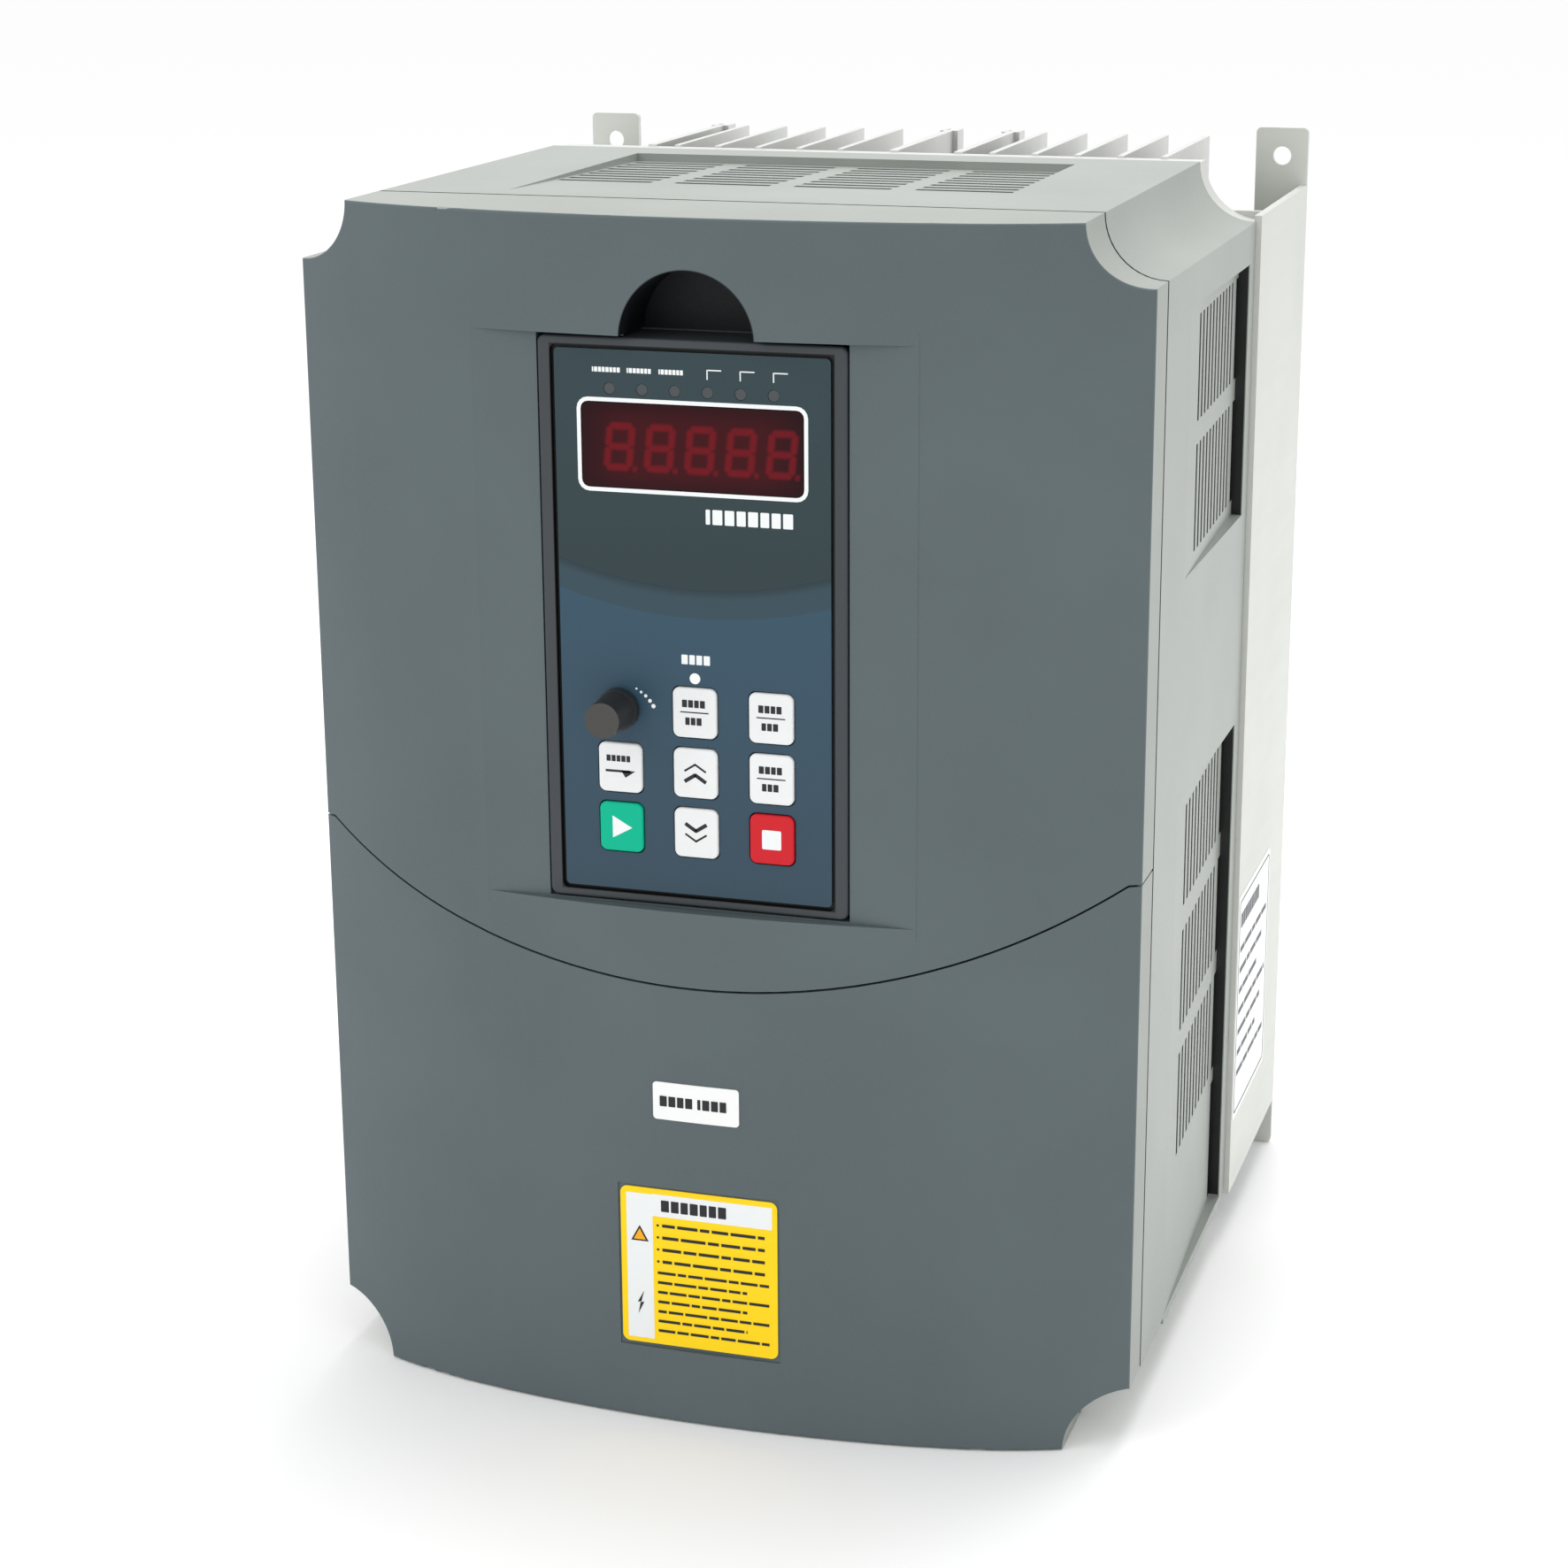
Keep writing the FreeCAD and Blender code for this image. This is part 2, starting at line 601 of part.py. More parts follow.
def build_side_plates():
    """Folded sheet down each side: ears against the wall, a flange behind the base plate."""
    host = body("right_plate")
    web_low, web_high = "plate_end", "height - plate_end"
    web = [rectangle((PLATE_INNER, PLATE_OUTER), (web_low, web_high))]
    pad(host, "plate_web", "front", web, ("0", "sink_depth - seam_gap"))
    ear_inner = f"{PLATE_OUTER} - ear_width"
    ear = [softened((ear_inner, PLATE_OUTER), ("0", "height + ear_rise"), "1.5")]
    pad(host, "plate_ears", "front", ear, ("0", "plate_gauge"))
    flange = [rectangle((f"{PLATE_INNER} - flange_width", f"{PLATE_INNER} + plate_gauge/2"),
                        (web_low, web_high))]
    flange_span = (f"{BASE_BACK} - plate_gauge", BASE_BACK)
    pad(host, "plate_flange", "front", flange, flange_span)
    ear_holes = [("circle", EAR_CENTRE, "ear_hole_end", "ear_hole_radius"),
                 ("circle", EAR_CENTRE, "height + ear_rise - ear_hole_end", "ear_hole_radius")]
    pocket(host, "ear_holes", "front", ear_holes, ("-1", "plate_gauge + 1"))
    flange_holes = [("circle", FLANGE_CENTRE, level, "screw_radius + screw_clear")
                    for level in FLANGE_LEVELS]
    pocket(host, "flange_holes", "front", flange_holes,
           (f"{BASE_BACK} - plate_gauge - 1", f"{BASE_BACK} + 1"))
    node("side_plate_right", host)
    twin = doc.addObject("Part::Mirroring", "left_plate")
    twin.Source = host
    twin.Normal = Vector(1, 0, 0)
    twin.Label = "side_plate_left"
    NODES["side_plate_left"] = twin
    screws = []
    for side in ("-1", "1"):
        for number, level in enumerate(FLANGE_LEVELS):
            name = f"plate_screw_{side.replace('-', 'm')}_{number}"
            centre = (f"{side}*{FLANGE_CENTRE}", level)
            screws.append(screw(name, "front", centre, f"({BASE_BACK} - plate_gauge)",
                                ("3.5", "2.6"), "9", sign="-"))
    node("side_plate_screws", several("side_plate_screws_group", screws))


def build_fan_tray():
    """Sheet tray between the side plates, with one round opening for each fan."""
    host = body("tray")
    depth = ("plate_gauge + 0.5", f"{BASE_BACK} - plate_gauge - 0.5")
    half = f"({PLATE_INNER} - 0.05)"
    floor = [rectangle((f"-{half}", half), depth)]
    openings = [("circle", f"{sign}*fan_half_space", "fan_centre", "fan_duct") for sign in ("-1", "1")]
    pad(host, "tray_floor", "plan", floor + openings, ("fan_level - tray_gauge", "fan_level"))
    for number, sign in enumerate(("-1", "1")):
        ends = (f"{sign}*{half}", f"{sign}*({half} - tray_gauge)")
        across = ends if sign == "-1" else (ends[1], ends[0])
        pad(host, f"tray_flange_{number}", "plan", [rectangle(across, depth)],
            ("fan_level - tray_gauge", "fan_level + 14"))
    node("fan_tray", host)


def build_fan(side, sign):
    """Axial fan: square frame with struts and bush, and a rotor of seven blades on an axle."""
    centre_x = f"({sign}*fan_half_space)"
    centre = (centre_x, "fan_centre")
    low, high = "fan_level", "(fan_level + fan_thick)"
    across = around(centre_x, "fan_size")
    out = around("fan_centre", "fan_size")
    frame = prism(f"fan_{side}_block", "plan", [softened(across, out, "3")], (low, high))
    duct = rod(f"fan_{side}_duct", "up", centre, "fan_duct", (f"{low} - 1", f"{high} + 1"))
    ring = cut(f"fan_{side}_ring", frame, [duct])
    hub = rod(f"fan_{side}_motor", "up", centre, "fan_hub - 1", (f"{high} - 3", high))
    arms = [box(f"fan_{side}_arm_x", around(centre_x, "2*fan_duct + 1"),
                around("fan_centre", "3"), (f"{high} - 2.5", high)),
            box(f"fan_{side}_arm_y", around(centre_x, "3"),
                around("fan_centre", "2*fan_duct + 1"), (f"{high} - 2.5", high))]
    bush = rod(f"fan_{side}_bush", "up", centre, "axle_radius + 2", (f"{high} - 9", high))
    solid = fuse(f"fan_{side}_body", [ring, hub, bush] + arms)
    bore = rod(f"fan_{side}_bore", "up", centre, "axle_radius + axle_fit",
               (f"{high} - 10", f"{high} - 0.8"))
    corner = [rod(f"fan_{side}_hole_{a}{b}", "up",
                  (f"{centre_x} + {a - 1}*25", f"fan_centre + {b - 1}*25"), "2.15",
                  (f"{low} - 1", f"{high} + 1")) for a in (0, 2) for b in (0, 2)]
    node(f"fan_frame_{side}", cut(f"fan_{side}_frame", solid, [bore] + corner, separate=True))

    cup_span = (f"{low} + 1", f"{high} - 4")
    cup = rod(f"rotor_{side}_cup", "up", centre, "fan_hub", cup_span)
    hollow = rod(f"rotor_{side}_hollow", "up", centre, "fan_hub - 1.5",
                 (f"{low} + 3", f"{high} - 3"))
    axle = rod(f"rotor_{side}_axle", "up", centre, "axle_radius", (f"{low} + 2", f"{high} - 1.2"))
    blades = []
    for number in range(7):
        blade = doc.addObject("Part::Box", f"rotor_{side}_blade_{number}")
        bind(blade, "Length", "fan_tip + 2 - fan_hub*0.9")
        bind(blade, "Width", "blade_thick")
        bind(blade, "Height", "24")
        turn = Rotation(Vector(0, 0, 1), number * 360.0 / 7)
        tilt = Rotation(Vector(1, 0, 0), amount("blade_angle"))
        blade.Placement = Placement(Vector(), turn * tilt)
        reach, lean = amount("fan_hub*0.9"), amount("blade_angle")
        # the root of the blade, halfway up its own height, sits on the hub at mid height
        offset = turn.multVec(Vector(reach, 0, 0)) - (turn * tilt).multVec(
            Vector(0, amount("blade_thick") / 2, 12))
        bind(blade, "Placement.Base.x", f"{centre_x} + {offset.x:.4f}")
        bind(blade, "Placement.Base.y", f"-fan_centre + {offset.y:.4f}")
        bind(blade, "Placement.Base.z", f"fan_level + (fan_thick - 3)/2 + {offset.z:.4f}")
        blades.append(blade)
    wheel = fuse(f"rotor_{side}_blades", blades)
    sweep = rod(f"rotor_{side}_sweep", "up", centre, "fan_tip", (f"{low} + 1.5", f"{high} - 5"))
    trimmed = overlap(f"rotor_{side}_trimmed", wheel, sweep)
    whole = fuse(f"rotor_{side}_blank", [cup, trimmed])
    opened = cut(f"rotor_{side}_opened", whole, [hollow])
    node(f"fan_rotor_{side}", fuse(f"rotor_{side}_wheel", [opened, axle]))


def build_fan_guards():
    """Wire finger guards under the tray: three rings and four spokes each."""
    guards = []
    for side, sign in (("left", "-1"), ("right", "1")):
        centre_x = f"({sign}*fan_half_space)"
        wires = []
        for number, radius in enumerate(("10", "18", "26")):
            ring = doc.addObject("Part::Torus", f"guard_{side}_ring_{number}")
            bind(ring, "Radius1", radius)
            bind(ring, "Radius2", "0.8")
            bind(ring, "Placement.Base.x", centre_x)
            bind(ring, "Placement.Base.y", "-fan_centre")
            bind(ring, "Placement.Base.z", "fan_level - tray_gauge - 0.8")
            wires.append(ring)
        level = around("fan_level - tray_gauge - 0.8", "1.6")
        wires.append(box(f"guard_{side}_spoke_x", around(centre_x, "62"),
                         around("fan_centre", "1.6"), level))
        wires.append(box(f"guard_{side}_spoke_y", around(centre_x, "1.6"),
                         around("fan_centre", "60"), level))
        guards.append(fuse(f"guard_{side}", wires))
    node("fan_guards", several("fan_guards_group", guards))


# ---------------------------------------------------------------------------------------------
# Housing with its sloped vents
# ---------------------------------------------------------------------------------------------
TOP_BLOCKS = 4
TOP_SLOTS = 9
SIDE_SLOTS = 11
UPPER_BLOCKS = [("224.5", "28"), ("258.5", "27.5")]
LOWER_BLOCKS = [("57", "29.5"), ("93", "28.5"), ("128.5", "28")]
UPPER_RECESS = ("220.5", "289.5")
LOWER_RECESS = ("16.5", "160.5")
SIDE_MARGIN = "0.6"
SIDE_END = "sink_depth + side_deep"


def wedge(name, plane, level, drop, flush, deep, span, thick=None):
    """The space of a sloping recess, or with a thickness the tray that lines it."""
    start, end = f"{FRONT} - {flush}", f"sink_depth + {deep}"
    if thick is None:
        corners = [(start, f"{level} + 1"), (end, f"{level} + 1"), (end, f"{level} - {drop}"),
                   (start, level)]
    else:
        back = f"{end} - {thick}"
        corners = [(start, level), (back, level), (back, f"{level} - {drop} - {thick}"),
                   (end, f"{level} - {drop} - {thick}"), (start, f"{level} - {thick}")]
    if plane == "plan":
        corners = [(second, first) for first, second in corners]
    return prism(name, plane, [corners], span)


def build_housing():
    outer = prism("housing_outer", "front", [scalloped("0")], ("sink_depth", HOUSING_FRONT))
    inner = prism("housing_inner", "front", [scalloped("housing_wall")],
                  ("sink_depth + 3", f"{HOUSING_FRONT} + 1"))
    mouth = prism("housing_mouth", "front", [scalloped("13")], ("sink_depth - 1", "sink_depth + 4"))
    shell = cut("housing_shell", outer, [fuse("housing_inside", [inner, mouth])])

    trays, recesses, slots = [], [], []
    half = f"({TOP_BLOCKS}*slot_length + {TOP_BLOCKS - 1}*slot_space)/2"
    wide = f"({half} + 1.2)"
    trays.append(wedge("top_tray", "side", "height", "top_drop", "top_flush", "top_deep",
                       (f"-({wide} + housing_wall)", f"{wide} + housing_wall"), "housing_wall"))
    recesses.append(wedge("top_recess", "side", "height", "top_drop", "top_flush", "top_deep",
                          (f"-{wide}", wide)))
    slot_up = ("height - top_drop - housing_wall - 2", "height + 1")
    for block in range(TOP_BLOCKS):
        left = f"-{half} + {block}*(slot_length + slot_space)"
        across = (left, f"{left} + slot_length")
        for number in range(TOP_SLOTS):
            middle = f"sink_depth + top_deep + slot_first + {number}*slot_pitch"
            slots.append(box(f"top_slot_{block}_{number}", across,
                             around(middle, "slot_width"), slot_up))
    side_level = "width/2"
    for hand, sign in (("right", 1), ("left", -1)):
        for part, (low, high), blocks in (("upper", UPPER_RECESS, UPPER_BLOCKS),
                                          ("lower", LOWER_RECESS, LOWER_BLOCKS)):
            name = f"{hand}_{part}"
            tray = wedge(name + "_tray", "plan", side_level, "side_drop", "side_flush", "side_deep",
                         (f"{low} - housing_wall", f"{high} + housing_wall"), "housing_wall")
            recess = wedge(name + "_recess", "plan", side_level, "side_drop", "side_flush",
                           "side_deep", (low, high))
            if sign < 0:
                tray, recess = mirrored(tray), mirrored(recess)
            trays.append(tray)
            recesses.append(recess)
            reach = (f"{side_level} - side_drop - housing_wall - 2", f"{side_level} + 1")
            if sign < 0:
                reach = (f"-({reach[1]})", f"-({reach[0]})")
            for block, (bottom, tall) in enumerate(blocks):
                up = (bottom, f"{bottom} + {tall}")
                for number in range(SIDE_SLOTS):
                    middle = f"{SIDE_END} + side_slot_first + {number}*side_slot_pitch"
                    slots.append(box(f"{name}_slot_{block}_{number}", reach,
                                     around(middle, "side_slot_width"), up))
                gap = (SIDE_END, f"{SIDE_END} + vent_gap")
                slots.append(box(f"{name}_gap_{block}", reach, gap, up))
            if part == "lower":
                slots.append(box(f"{name}_gap_low", reach, gap, (f"{low} + {SIDE_MARGIN}", "53")))
    entries = []
    for number in range(4):
        centre = (f"({number} - 1.5)*gland_pitch", "gland_at")
        entries.append(rod(f"entry_{number}", "up", centre, "gland_radius", ("-1", "housing_wall + 1")))
    for number, (side, level) in enumerate(BOSS_PLACES):
        entries.append(rod(f"housing_hole_{number}", "front", (f"{side}*(width/2 - boss_side)", level),
                           "screw_radius + screw_clear", ("sink_depth - 1", "sink_depth + 4")))
    lined = fuse("housing_lined", [shell] + trays)
    opened = cut("housing_recessed", lined, recesses, separate=True)
    node("housing", cut("housing_solid", opened, slots + entries, separate=True))

    screws = [screw(f"housing_screw_{number}", "front", (f"{side}*(width/2 - boss_side)", level),
                    "(sink_depth + 3)", ("3.5", "2.6"), "11")
              for number, (side, level) in enumerate(BOSS_PLACES)]
    node("housing_screws", several("housing_screws_group", screws))

    grommets = []
    for number in range(4):
        centre = (f"({number} - 1.5)*gland_pitch", "gland_at")
        collar = rod(f"grommet_collar_{number}", "up", centre, "gland_radius + 2.4",
                     ("housing_wall", "housing_wall + 2.5"))
        neck = rod(f"grommet_neck_{number}", "up", centre, "gland_radius - 0.05",
                   ("0.3", "housing_wall + 1"))
        hole = rod(f"grommet_hole_{number}", "up", centre, "gland_radius - 3",
                   ("-1", "housing_wall + 4"))
        grommets.append(cut(f"grommet_{number}", fuse(f"grommet_blank_{number}", [collar, neck]),
                            [hole]))
    node("cable_grommets", several("cable_grommets_group", grommets))


def mirrored(thing):
    twin = doc.addObject("Part::Mirroring", thing.Name + "_twin")
    twin.Source = thing
    twin.Normal = Vector(1, 0, 0)
    return twin


# ---------------------------------------------------------------------------------------------
# Front covers and labels
# ---------------------------------------------------------------------------------------------
AHEAD = f"{CROWN} + 5"


def cover_blank():
    """The whole front as one closed block, with its front edges rounded."""
    face = prism("cover_outline", "front", [scalloped("0")], (COVER_BACK, AHEAD))
    plan = prism("cover_plan", "plan", [bulged("0", COVER_BACK)], ("0", "height"))
    block = overlap("cover_block", face, plan)
    doc.recompute()
    edges = []
    back = amount(COVER_BACK)
    for number, edge in enumerate(block.Shape.Edges, start=1):
        bounds = edge.BoundBox
        on_back = bounds.YMin > -back - 0.01
        along_z = bounds.ZLength > amount("height") - 2 * amount("scallop_radius") - 1
        inner_line = along_z and abs(bounds.Center.x) < amount("width") / 2 - 1
        along_y = bounds.YLength > 1 and bounds.XLength < 0.01 and bounds.ZLength < 0.01
        if not (on_back or inner_line or along_y):
            edges.append((number, amount("corner_round"), amount("corner_round")))
    rounded = doc.addObject("Part::Fillet", "cover_rounded")
    rounded.Base = block
    rounded.Edges = edges
    return rounded


def cover_inside():
    face = prism("cover_inner_outline", "front", [scalloped("wall")], (f"{COVER_BACK} - 1", AHEAD))
    plan = prism("cover_inner_plan", "plan", [bulged("wall", f"{COVER_BACK} - 1")],
                 ("wall", "height - wall"))
    return overlap("cover_hollow", face, plan)


def cover_lip():
    """A rim that reaches from inside the skirt into the housing."""
    span = (f"{HOUSING_FRONT} - lip_reach", f"{COVER_BACK} + 5")
    inner = (f"{HOUSING_FRONT} - lip_reach - 1", f"{COVER_BACK} + 6")
    outside = prism("lip_outside", "front", [scalloped("wall")], span)
    inside = prism("lip_inside", "front", [scalloped("wall + lip_thick")], inner)
    return cut("cover_lip", outside, [inside])


def split_zone(name, upper):
    """Everything above or below the split of the covers, each half a gap away from it."""
    side = "seam_side + seam_gap/2" if upper else "seam_side - seam_gap/2"
    low = "seam_low + seam_gap/2" if upper else "seam_low - seam_gap/2"
    limit = "height + 5" if upper else "-5"
    beyond = "(width/2 + 5)"
    corners = [(f"-{beyond}", limit), (f"-{beyond}", side), ("-seam_half", side),
               ("seam_half", side, ("0", low)), (beyond, side), (beyond, limit)]
    return prism(name, "front", [corners], ("sink_depth", AHEAD))


def build_covers():
    shell = cut("cover_shell", cover_blank(), [cover_inside()])
    rim = cover_lip()
    whole = fuse("cover_whole", [shell, rim])

    # Upper cover: flat pocket, keypad well with a connector window, finger scoop above it
    pocket_up = ("keypad_bottom - pocket_margin", f"{KEYPAD_TOP} + pocket_margin")
    backing = box("pocket_backing", ("-pocket_half", "pocket_half"), (f"{POCKET} - wall", POCKET),
                  (f"{pocket_up[0]} - wall", f"{pocket_up[1]} + wall"))
    clear = "keypad_clear"
    half = f"(keypad_width/2 + {clear})"
    well_up = (f"keypad_bottom - {clear}", f"{KEYPAD_TOP} + {clear}")
    block = box("well_block", (f"-{half} - well_wall", f"{half} + well_wall"),
                (f"{WELL_FLOOR} - well_wall", POCKET),
                (f"{well_up[0]} - well_wall", f"{well_up[1]} + well_wall"))
    scoop_centre = ("0", KEYPAD_TOP)
    scoop_block = rod("scoop_block", "front", scoop_centre, "scoop_radius + well_wall",
                      (f"{WELL_FLOOR} - well_wall", f"{CROWN} - 2.2"))
    upper_part = overlap("upper_part", whole, split_zone("upper_zone", True))
    blank = fuse("upper_blank", [upper_part, backing, block, scoop_block])
    opening = box("pocket_space", ("-pocket_half - 6", "pocket_half + 6"), (POCKET, AHEAD), pocket_up)
    well = box("well_space", (f"-{half}", half), (WELL_FLOOR, AHEAD), well_up)
    scoop = rod("scoop_space", "front", scoop_centre, "scoop_radius", (WELL_FLOOR, AHEAD))
    window = box("socket_window", ("-12", "12"), (f"{WELL_FLOOR} - well_wall - 1", f"{WELL_FLOOR} + 1"),
                 ("204", "224"))
    spaces = fuse("upper_spaces", [opening, well, scoop, window])
    node("upper_cover", cut("upper_cover_solid", blank, [spaces]))

    # Lower cover: a shallow flat for the caution label
    lower_part = overlap("lower_part", whole, split_zone("lower_zone", False))
    flat = box("caution_flat", ("-caution_half - 0.6", "caution_half + 0.6"), (CAUTION_PLANE, AHEAD),
               ("caution_low - 1", "caution_low + caution_tall + 0.8"))
    node("lower_cover", cut("lower_cover_solid", lower_part, [flat]))

    host = body("caution")
    shape = [softened(("-caution_half", "caution_half"),
                      ("caution_low", "caution_low + caution_tall"), "2")]
    pad(host, "caution_pad", "front", shape, (CAUTION_PLANE, f"{CAUTION_PLANE} + label_thick"))
    node("caution_label", host)

    up = ("rating_low", "rating_low + rating_tall")
    over = prism("rating_over", "plan", [bulged("-label_thick", COVER_BACK)], up)
    under = prism("rating_under", "plan", [bulged("0", f"{COVER_BACK} - 1")],
                  (f"{up[0]} - 1", f"{up[1]} + 1"))
    patch = prism("rating_patch", "front", [softened(("-rating_half", "rating_half"), up, "1")],
                  (FRONT, AHEAD))
    node("rating_label", overlap("rating_solid", cut("rating_skin", over, [under]), patch))

    host = body("nameplate")
    out = ("sink_depth - 1 - plate_label_wide", "sink_depth - 1")
    up = ("plate_label_low", "plate_label_low + plate_label_tall")
    pad(host, "nameplate_pad", "side", [softened(out, up, "2")],
        (PLATE_OUTER, f"{PLATE_OUTER} + label_thick"))
    node("nameplate_label", host)


# ---------------------------------------------------------------------------------------------
# Keypad: case, overlay, window, lamps, keys and speed knob
# ---------------------------------------------------------------------------------------------
KEYS = {
    "key_shift": (-1, 1), "key_run": (-1, 0),
    "key_program": (0, 2), "key_up": (0, 1), "key_down": (0, 0),
    "key_set": (1, 2), "key_jog": (1, 1), "key_stop": (1, 0),
}
KNOB_CENTRE = ("-key_pitch", "key_low + 2*key_row - 0.2")
LAMPS = [f"({number} - 2.5)*lamp_pitch" for number in range(6)]
BOARD_FRONT = f"({OVERLAY_BACK} - 8.5)"
BOARD_BACK = f"({BOARD_FRONT} - board_thick)"


def key_spot(column, row):
    return f"{column}*key_pitch", f"key_low + {row}*key_row"


def open_face(host, name, span):
    """The openings that the case and the overlay share: window, lamps, spindle and keys."""
    across = around("0", "window_width + 2*window_clear")
    up = around("window_centre", "window_height + 2*window_clear")
    pocket(host, name + "_window", "front", [softened(across, up, "2")], span)
    rounds = [("circle", place, "lamp_level", "lamp_radius + 0.1") for place in LAMPS]
    rounds.append(("circle", "0", "trip_level", "lamp_radius + 0.1"))
    rounds.append(("circle", KNOB_CENTRE[0], KNOB_CENTRE[1], "spindle_radius + 1"))
    pocket(host, name + "_rounds", "front", rounds, span)
    for key, (column, row) in KEYS.items():
        middle, level = key_spot(column, row)
        hole = softened(around(middle, "key_width + 2*key_clear"),
                        around(level, "key_height + 2*key_clear"), "key_round + key_clear")
        pocket(host, f"{name}_{key}", "front", [hole], span)


def build_keypad():
    half = "keypad_width/2"
    up = ("keypad_bottom", KEYPAD_TOP)
    host = body("case")
    pad(host, "case_block", "front", [softened((f"-{half}", half), up, "keypad_round")],
        (KEYPAD_BACK, KEYPAD_FACE))
    inner = rectangle((f"-{half} + keypad_wall", f"{half} - keypad_wall"),
                      (f"{up[0]} + keypad_wall", f"{up[1]} - keypad_wall"))
    pocket(host, "case_hollow", "front", [inner], (f"{KEYPAD_BACK} - 1", f"{OVERLAY_BACK} - 1.2"))
    frame_across = around("0", f"{OVERLAY_WIDTH} + 2*overlay_gap")
    frame_up = around(KEYPAD_MIDDLE, f"{OVERLAY_HEIGHT} + 2*overlay_gap")
    pocket(host, "case_recess", "front", [softened(frame_across, frame_up, "1.5")],
           (OVERLAY_BACK, f"{KEYPAD_FACE} + 1"))
    open_face(host, "case", (f"{OVERLAY_BACK} - 3", f"{OVERLAY_BACK} + 1"))
    round_edges(host, "case_edge", "0.7", lambda middle, run: (
        abs(middle.y + amount(KEYPAD_FACE)) < 0.01
        and (abs(middle.x) > amount("keypad_width") / 2 - 0.7
             or abs(middle.z - amount(KEYPAD_MIDDLE)) > amount("keypad_height") / 2 - 0.7)))
    node("keypad_case", host)

    host = body("overlay")
    sheet_outline = softened(around("0", OVERLAY_WIDTH), around(KEYPAD_MIDDLE, OVERLAY_HEIGHT),
                             "1.2")
    pad(host, "overlay_sheet", "front", [sheet_outline], (OVERLAY_BACK, OVERLAY_FACE))
    open_face(host, "overlay", (f"{OVERLAY_BACK} - 1", f"{OVERLAY_FACE} + 1"))
    node("keypad_overlay", host)

    host = body("window")
    pad(host, "window_pane", "front",
        [softened(around("0", "window_width"), around("window_centre", "window_height"), "1.85")],
        (f"{OVERLAY_BACK} - 1.2", f"{OVERLAY_FACE} + 0.1"))
    node("display_window", host)

    host = body("digits")
    pad(host, "digit_block", "front",
        [rectangle(around("0", "window_width - 3"), around("window_centre", "window_height - 2"))],
        (BOARD_FRONT, f"{OVERLAY_BACK} - 1.6"))
    node("display_module", host)

    lamps = []
    for number, (across, level) in enumerate([(place, "lamp_level") for place in LAMPS]
                                             + [("0", "trip_level")]):
        lamps.append(fuse(f"lamp_{number}", [
            rod(f"lamp_body_{number}", "front", (across, level), "lamp_radius",
                (BOARD_FRONT, f"{OVERLAY_FACE} - 0.1")),
            rod(f"lamp_flange_{number}", "front", (across, level), "lamp_radius + 0.4",
                (BOARD_FRONT, f"{BOARD_FRONT} + 1"))]))
    node("indicator_lamps", several("indicator_lamps_group", lamps))

    host = body("display_board")
    edge = "(keypad_wall + 1)"
    pad(host, "display_board_pad", "front",
        [rectangle((f"-{half} + {edge}", f"{half} - {edge}"),
                   (f"{up[0]} + {edge}", f"{up[1]} - {edge}"))], (BOARD_BACK, BOARD_FRONT))
    node("keypad_board", host)

    host = body("back_plate")
    lip = "(keypad_wall + 0.1)"
    pad(host, "back_plate_pad", "front",
        [rectangle((f"-{half} + {lip}", f"{half} - {lip}"), (f"{up[0]} + {lip}", f"{up[1]} - {lip}"))],
        (KEYPAD_BACK, f"{KEYPAD_BACK} + 1.5"))
    pad(host, "back_plate_posts", "front",
        [("circle", f"{a}*({half} - 9.5)", f"{KEYPAD_MIDDLE} + {b}*(keypad_height/2 - 9.75)", "2.5")
         for a in (-1, 1) for b in (-1, 1)],
        (f"{KEYPAD_BACK} + 1.5", BOARD_BACK))
    node("keypad_back", host)

    host = body("plug")
    pad(host, "plug_shell", "front", [rectangle(("-9", "9"), ("209", "219"))],
        (f"{WELL_FLOOR} - 15", KEYPAD_BACK))
    pocket(host, "plug_mouth", "front", [rectangle(("-7.5", "7.5"), ("210.5", "217.5"))],
           (f"{WELL_FLOOR} - 16", f"{WELL_FLOOR} - 8"))
    node("keypad_plug", host)

    for name, (column, row) in KEYS.items():
        build_key(name, *key_spot(column, row))
    build_switches()
    build_knob()


def build_key(name, across, level):
    """A key cap with rounded corners and edge, and a stem over its switch."""
    host = body(name + "_body")
    pad(host, name + "_cap", "front",
        [softened(around(across, "key_width"), around(level, "key_height"), "key_round")],
        (f"{OVERLAY_BACK} - 2.2", KEY_FACE))
    pad(host, name + "_stem", "front", [("circle", across, level, "1.8")],
        (f"{BOARD_FRONT} + 3.2 + key_travel + 0.3", f"{OVERLAY_BACK} - 2.2"))
    round_edges(host, name + "_edge", "0.5", lambda middle, run: (
        abs(middle.y + amount(KEY_FACE)) < 0.01))
    node(name, host)


def build_switches():
    """One small push switch on the board behind each key."""
    switches = []
    for name, (column, row) in KEYS.items():
        across, level = key_spot(column, row)
        base = box(name + "_switch", around(across, "6"), around(f"({BOARD_FRONT} + 1.25)", "2.5"),
                   around(level, "6"))
        plunger = rod(name + "_plunger", "front", (across, level), "1.5",
                      (f"{BOARD_FRONT} + 2", f"{BOARD_FRONT} + 3.2"))
        switches.append(fuse(name + "_switch_whole", [base, plunger]))
    node("key_switches", several("key_switches_group", switches))


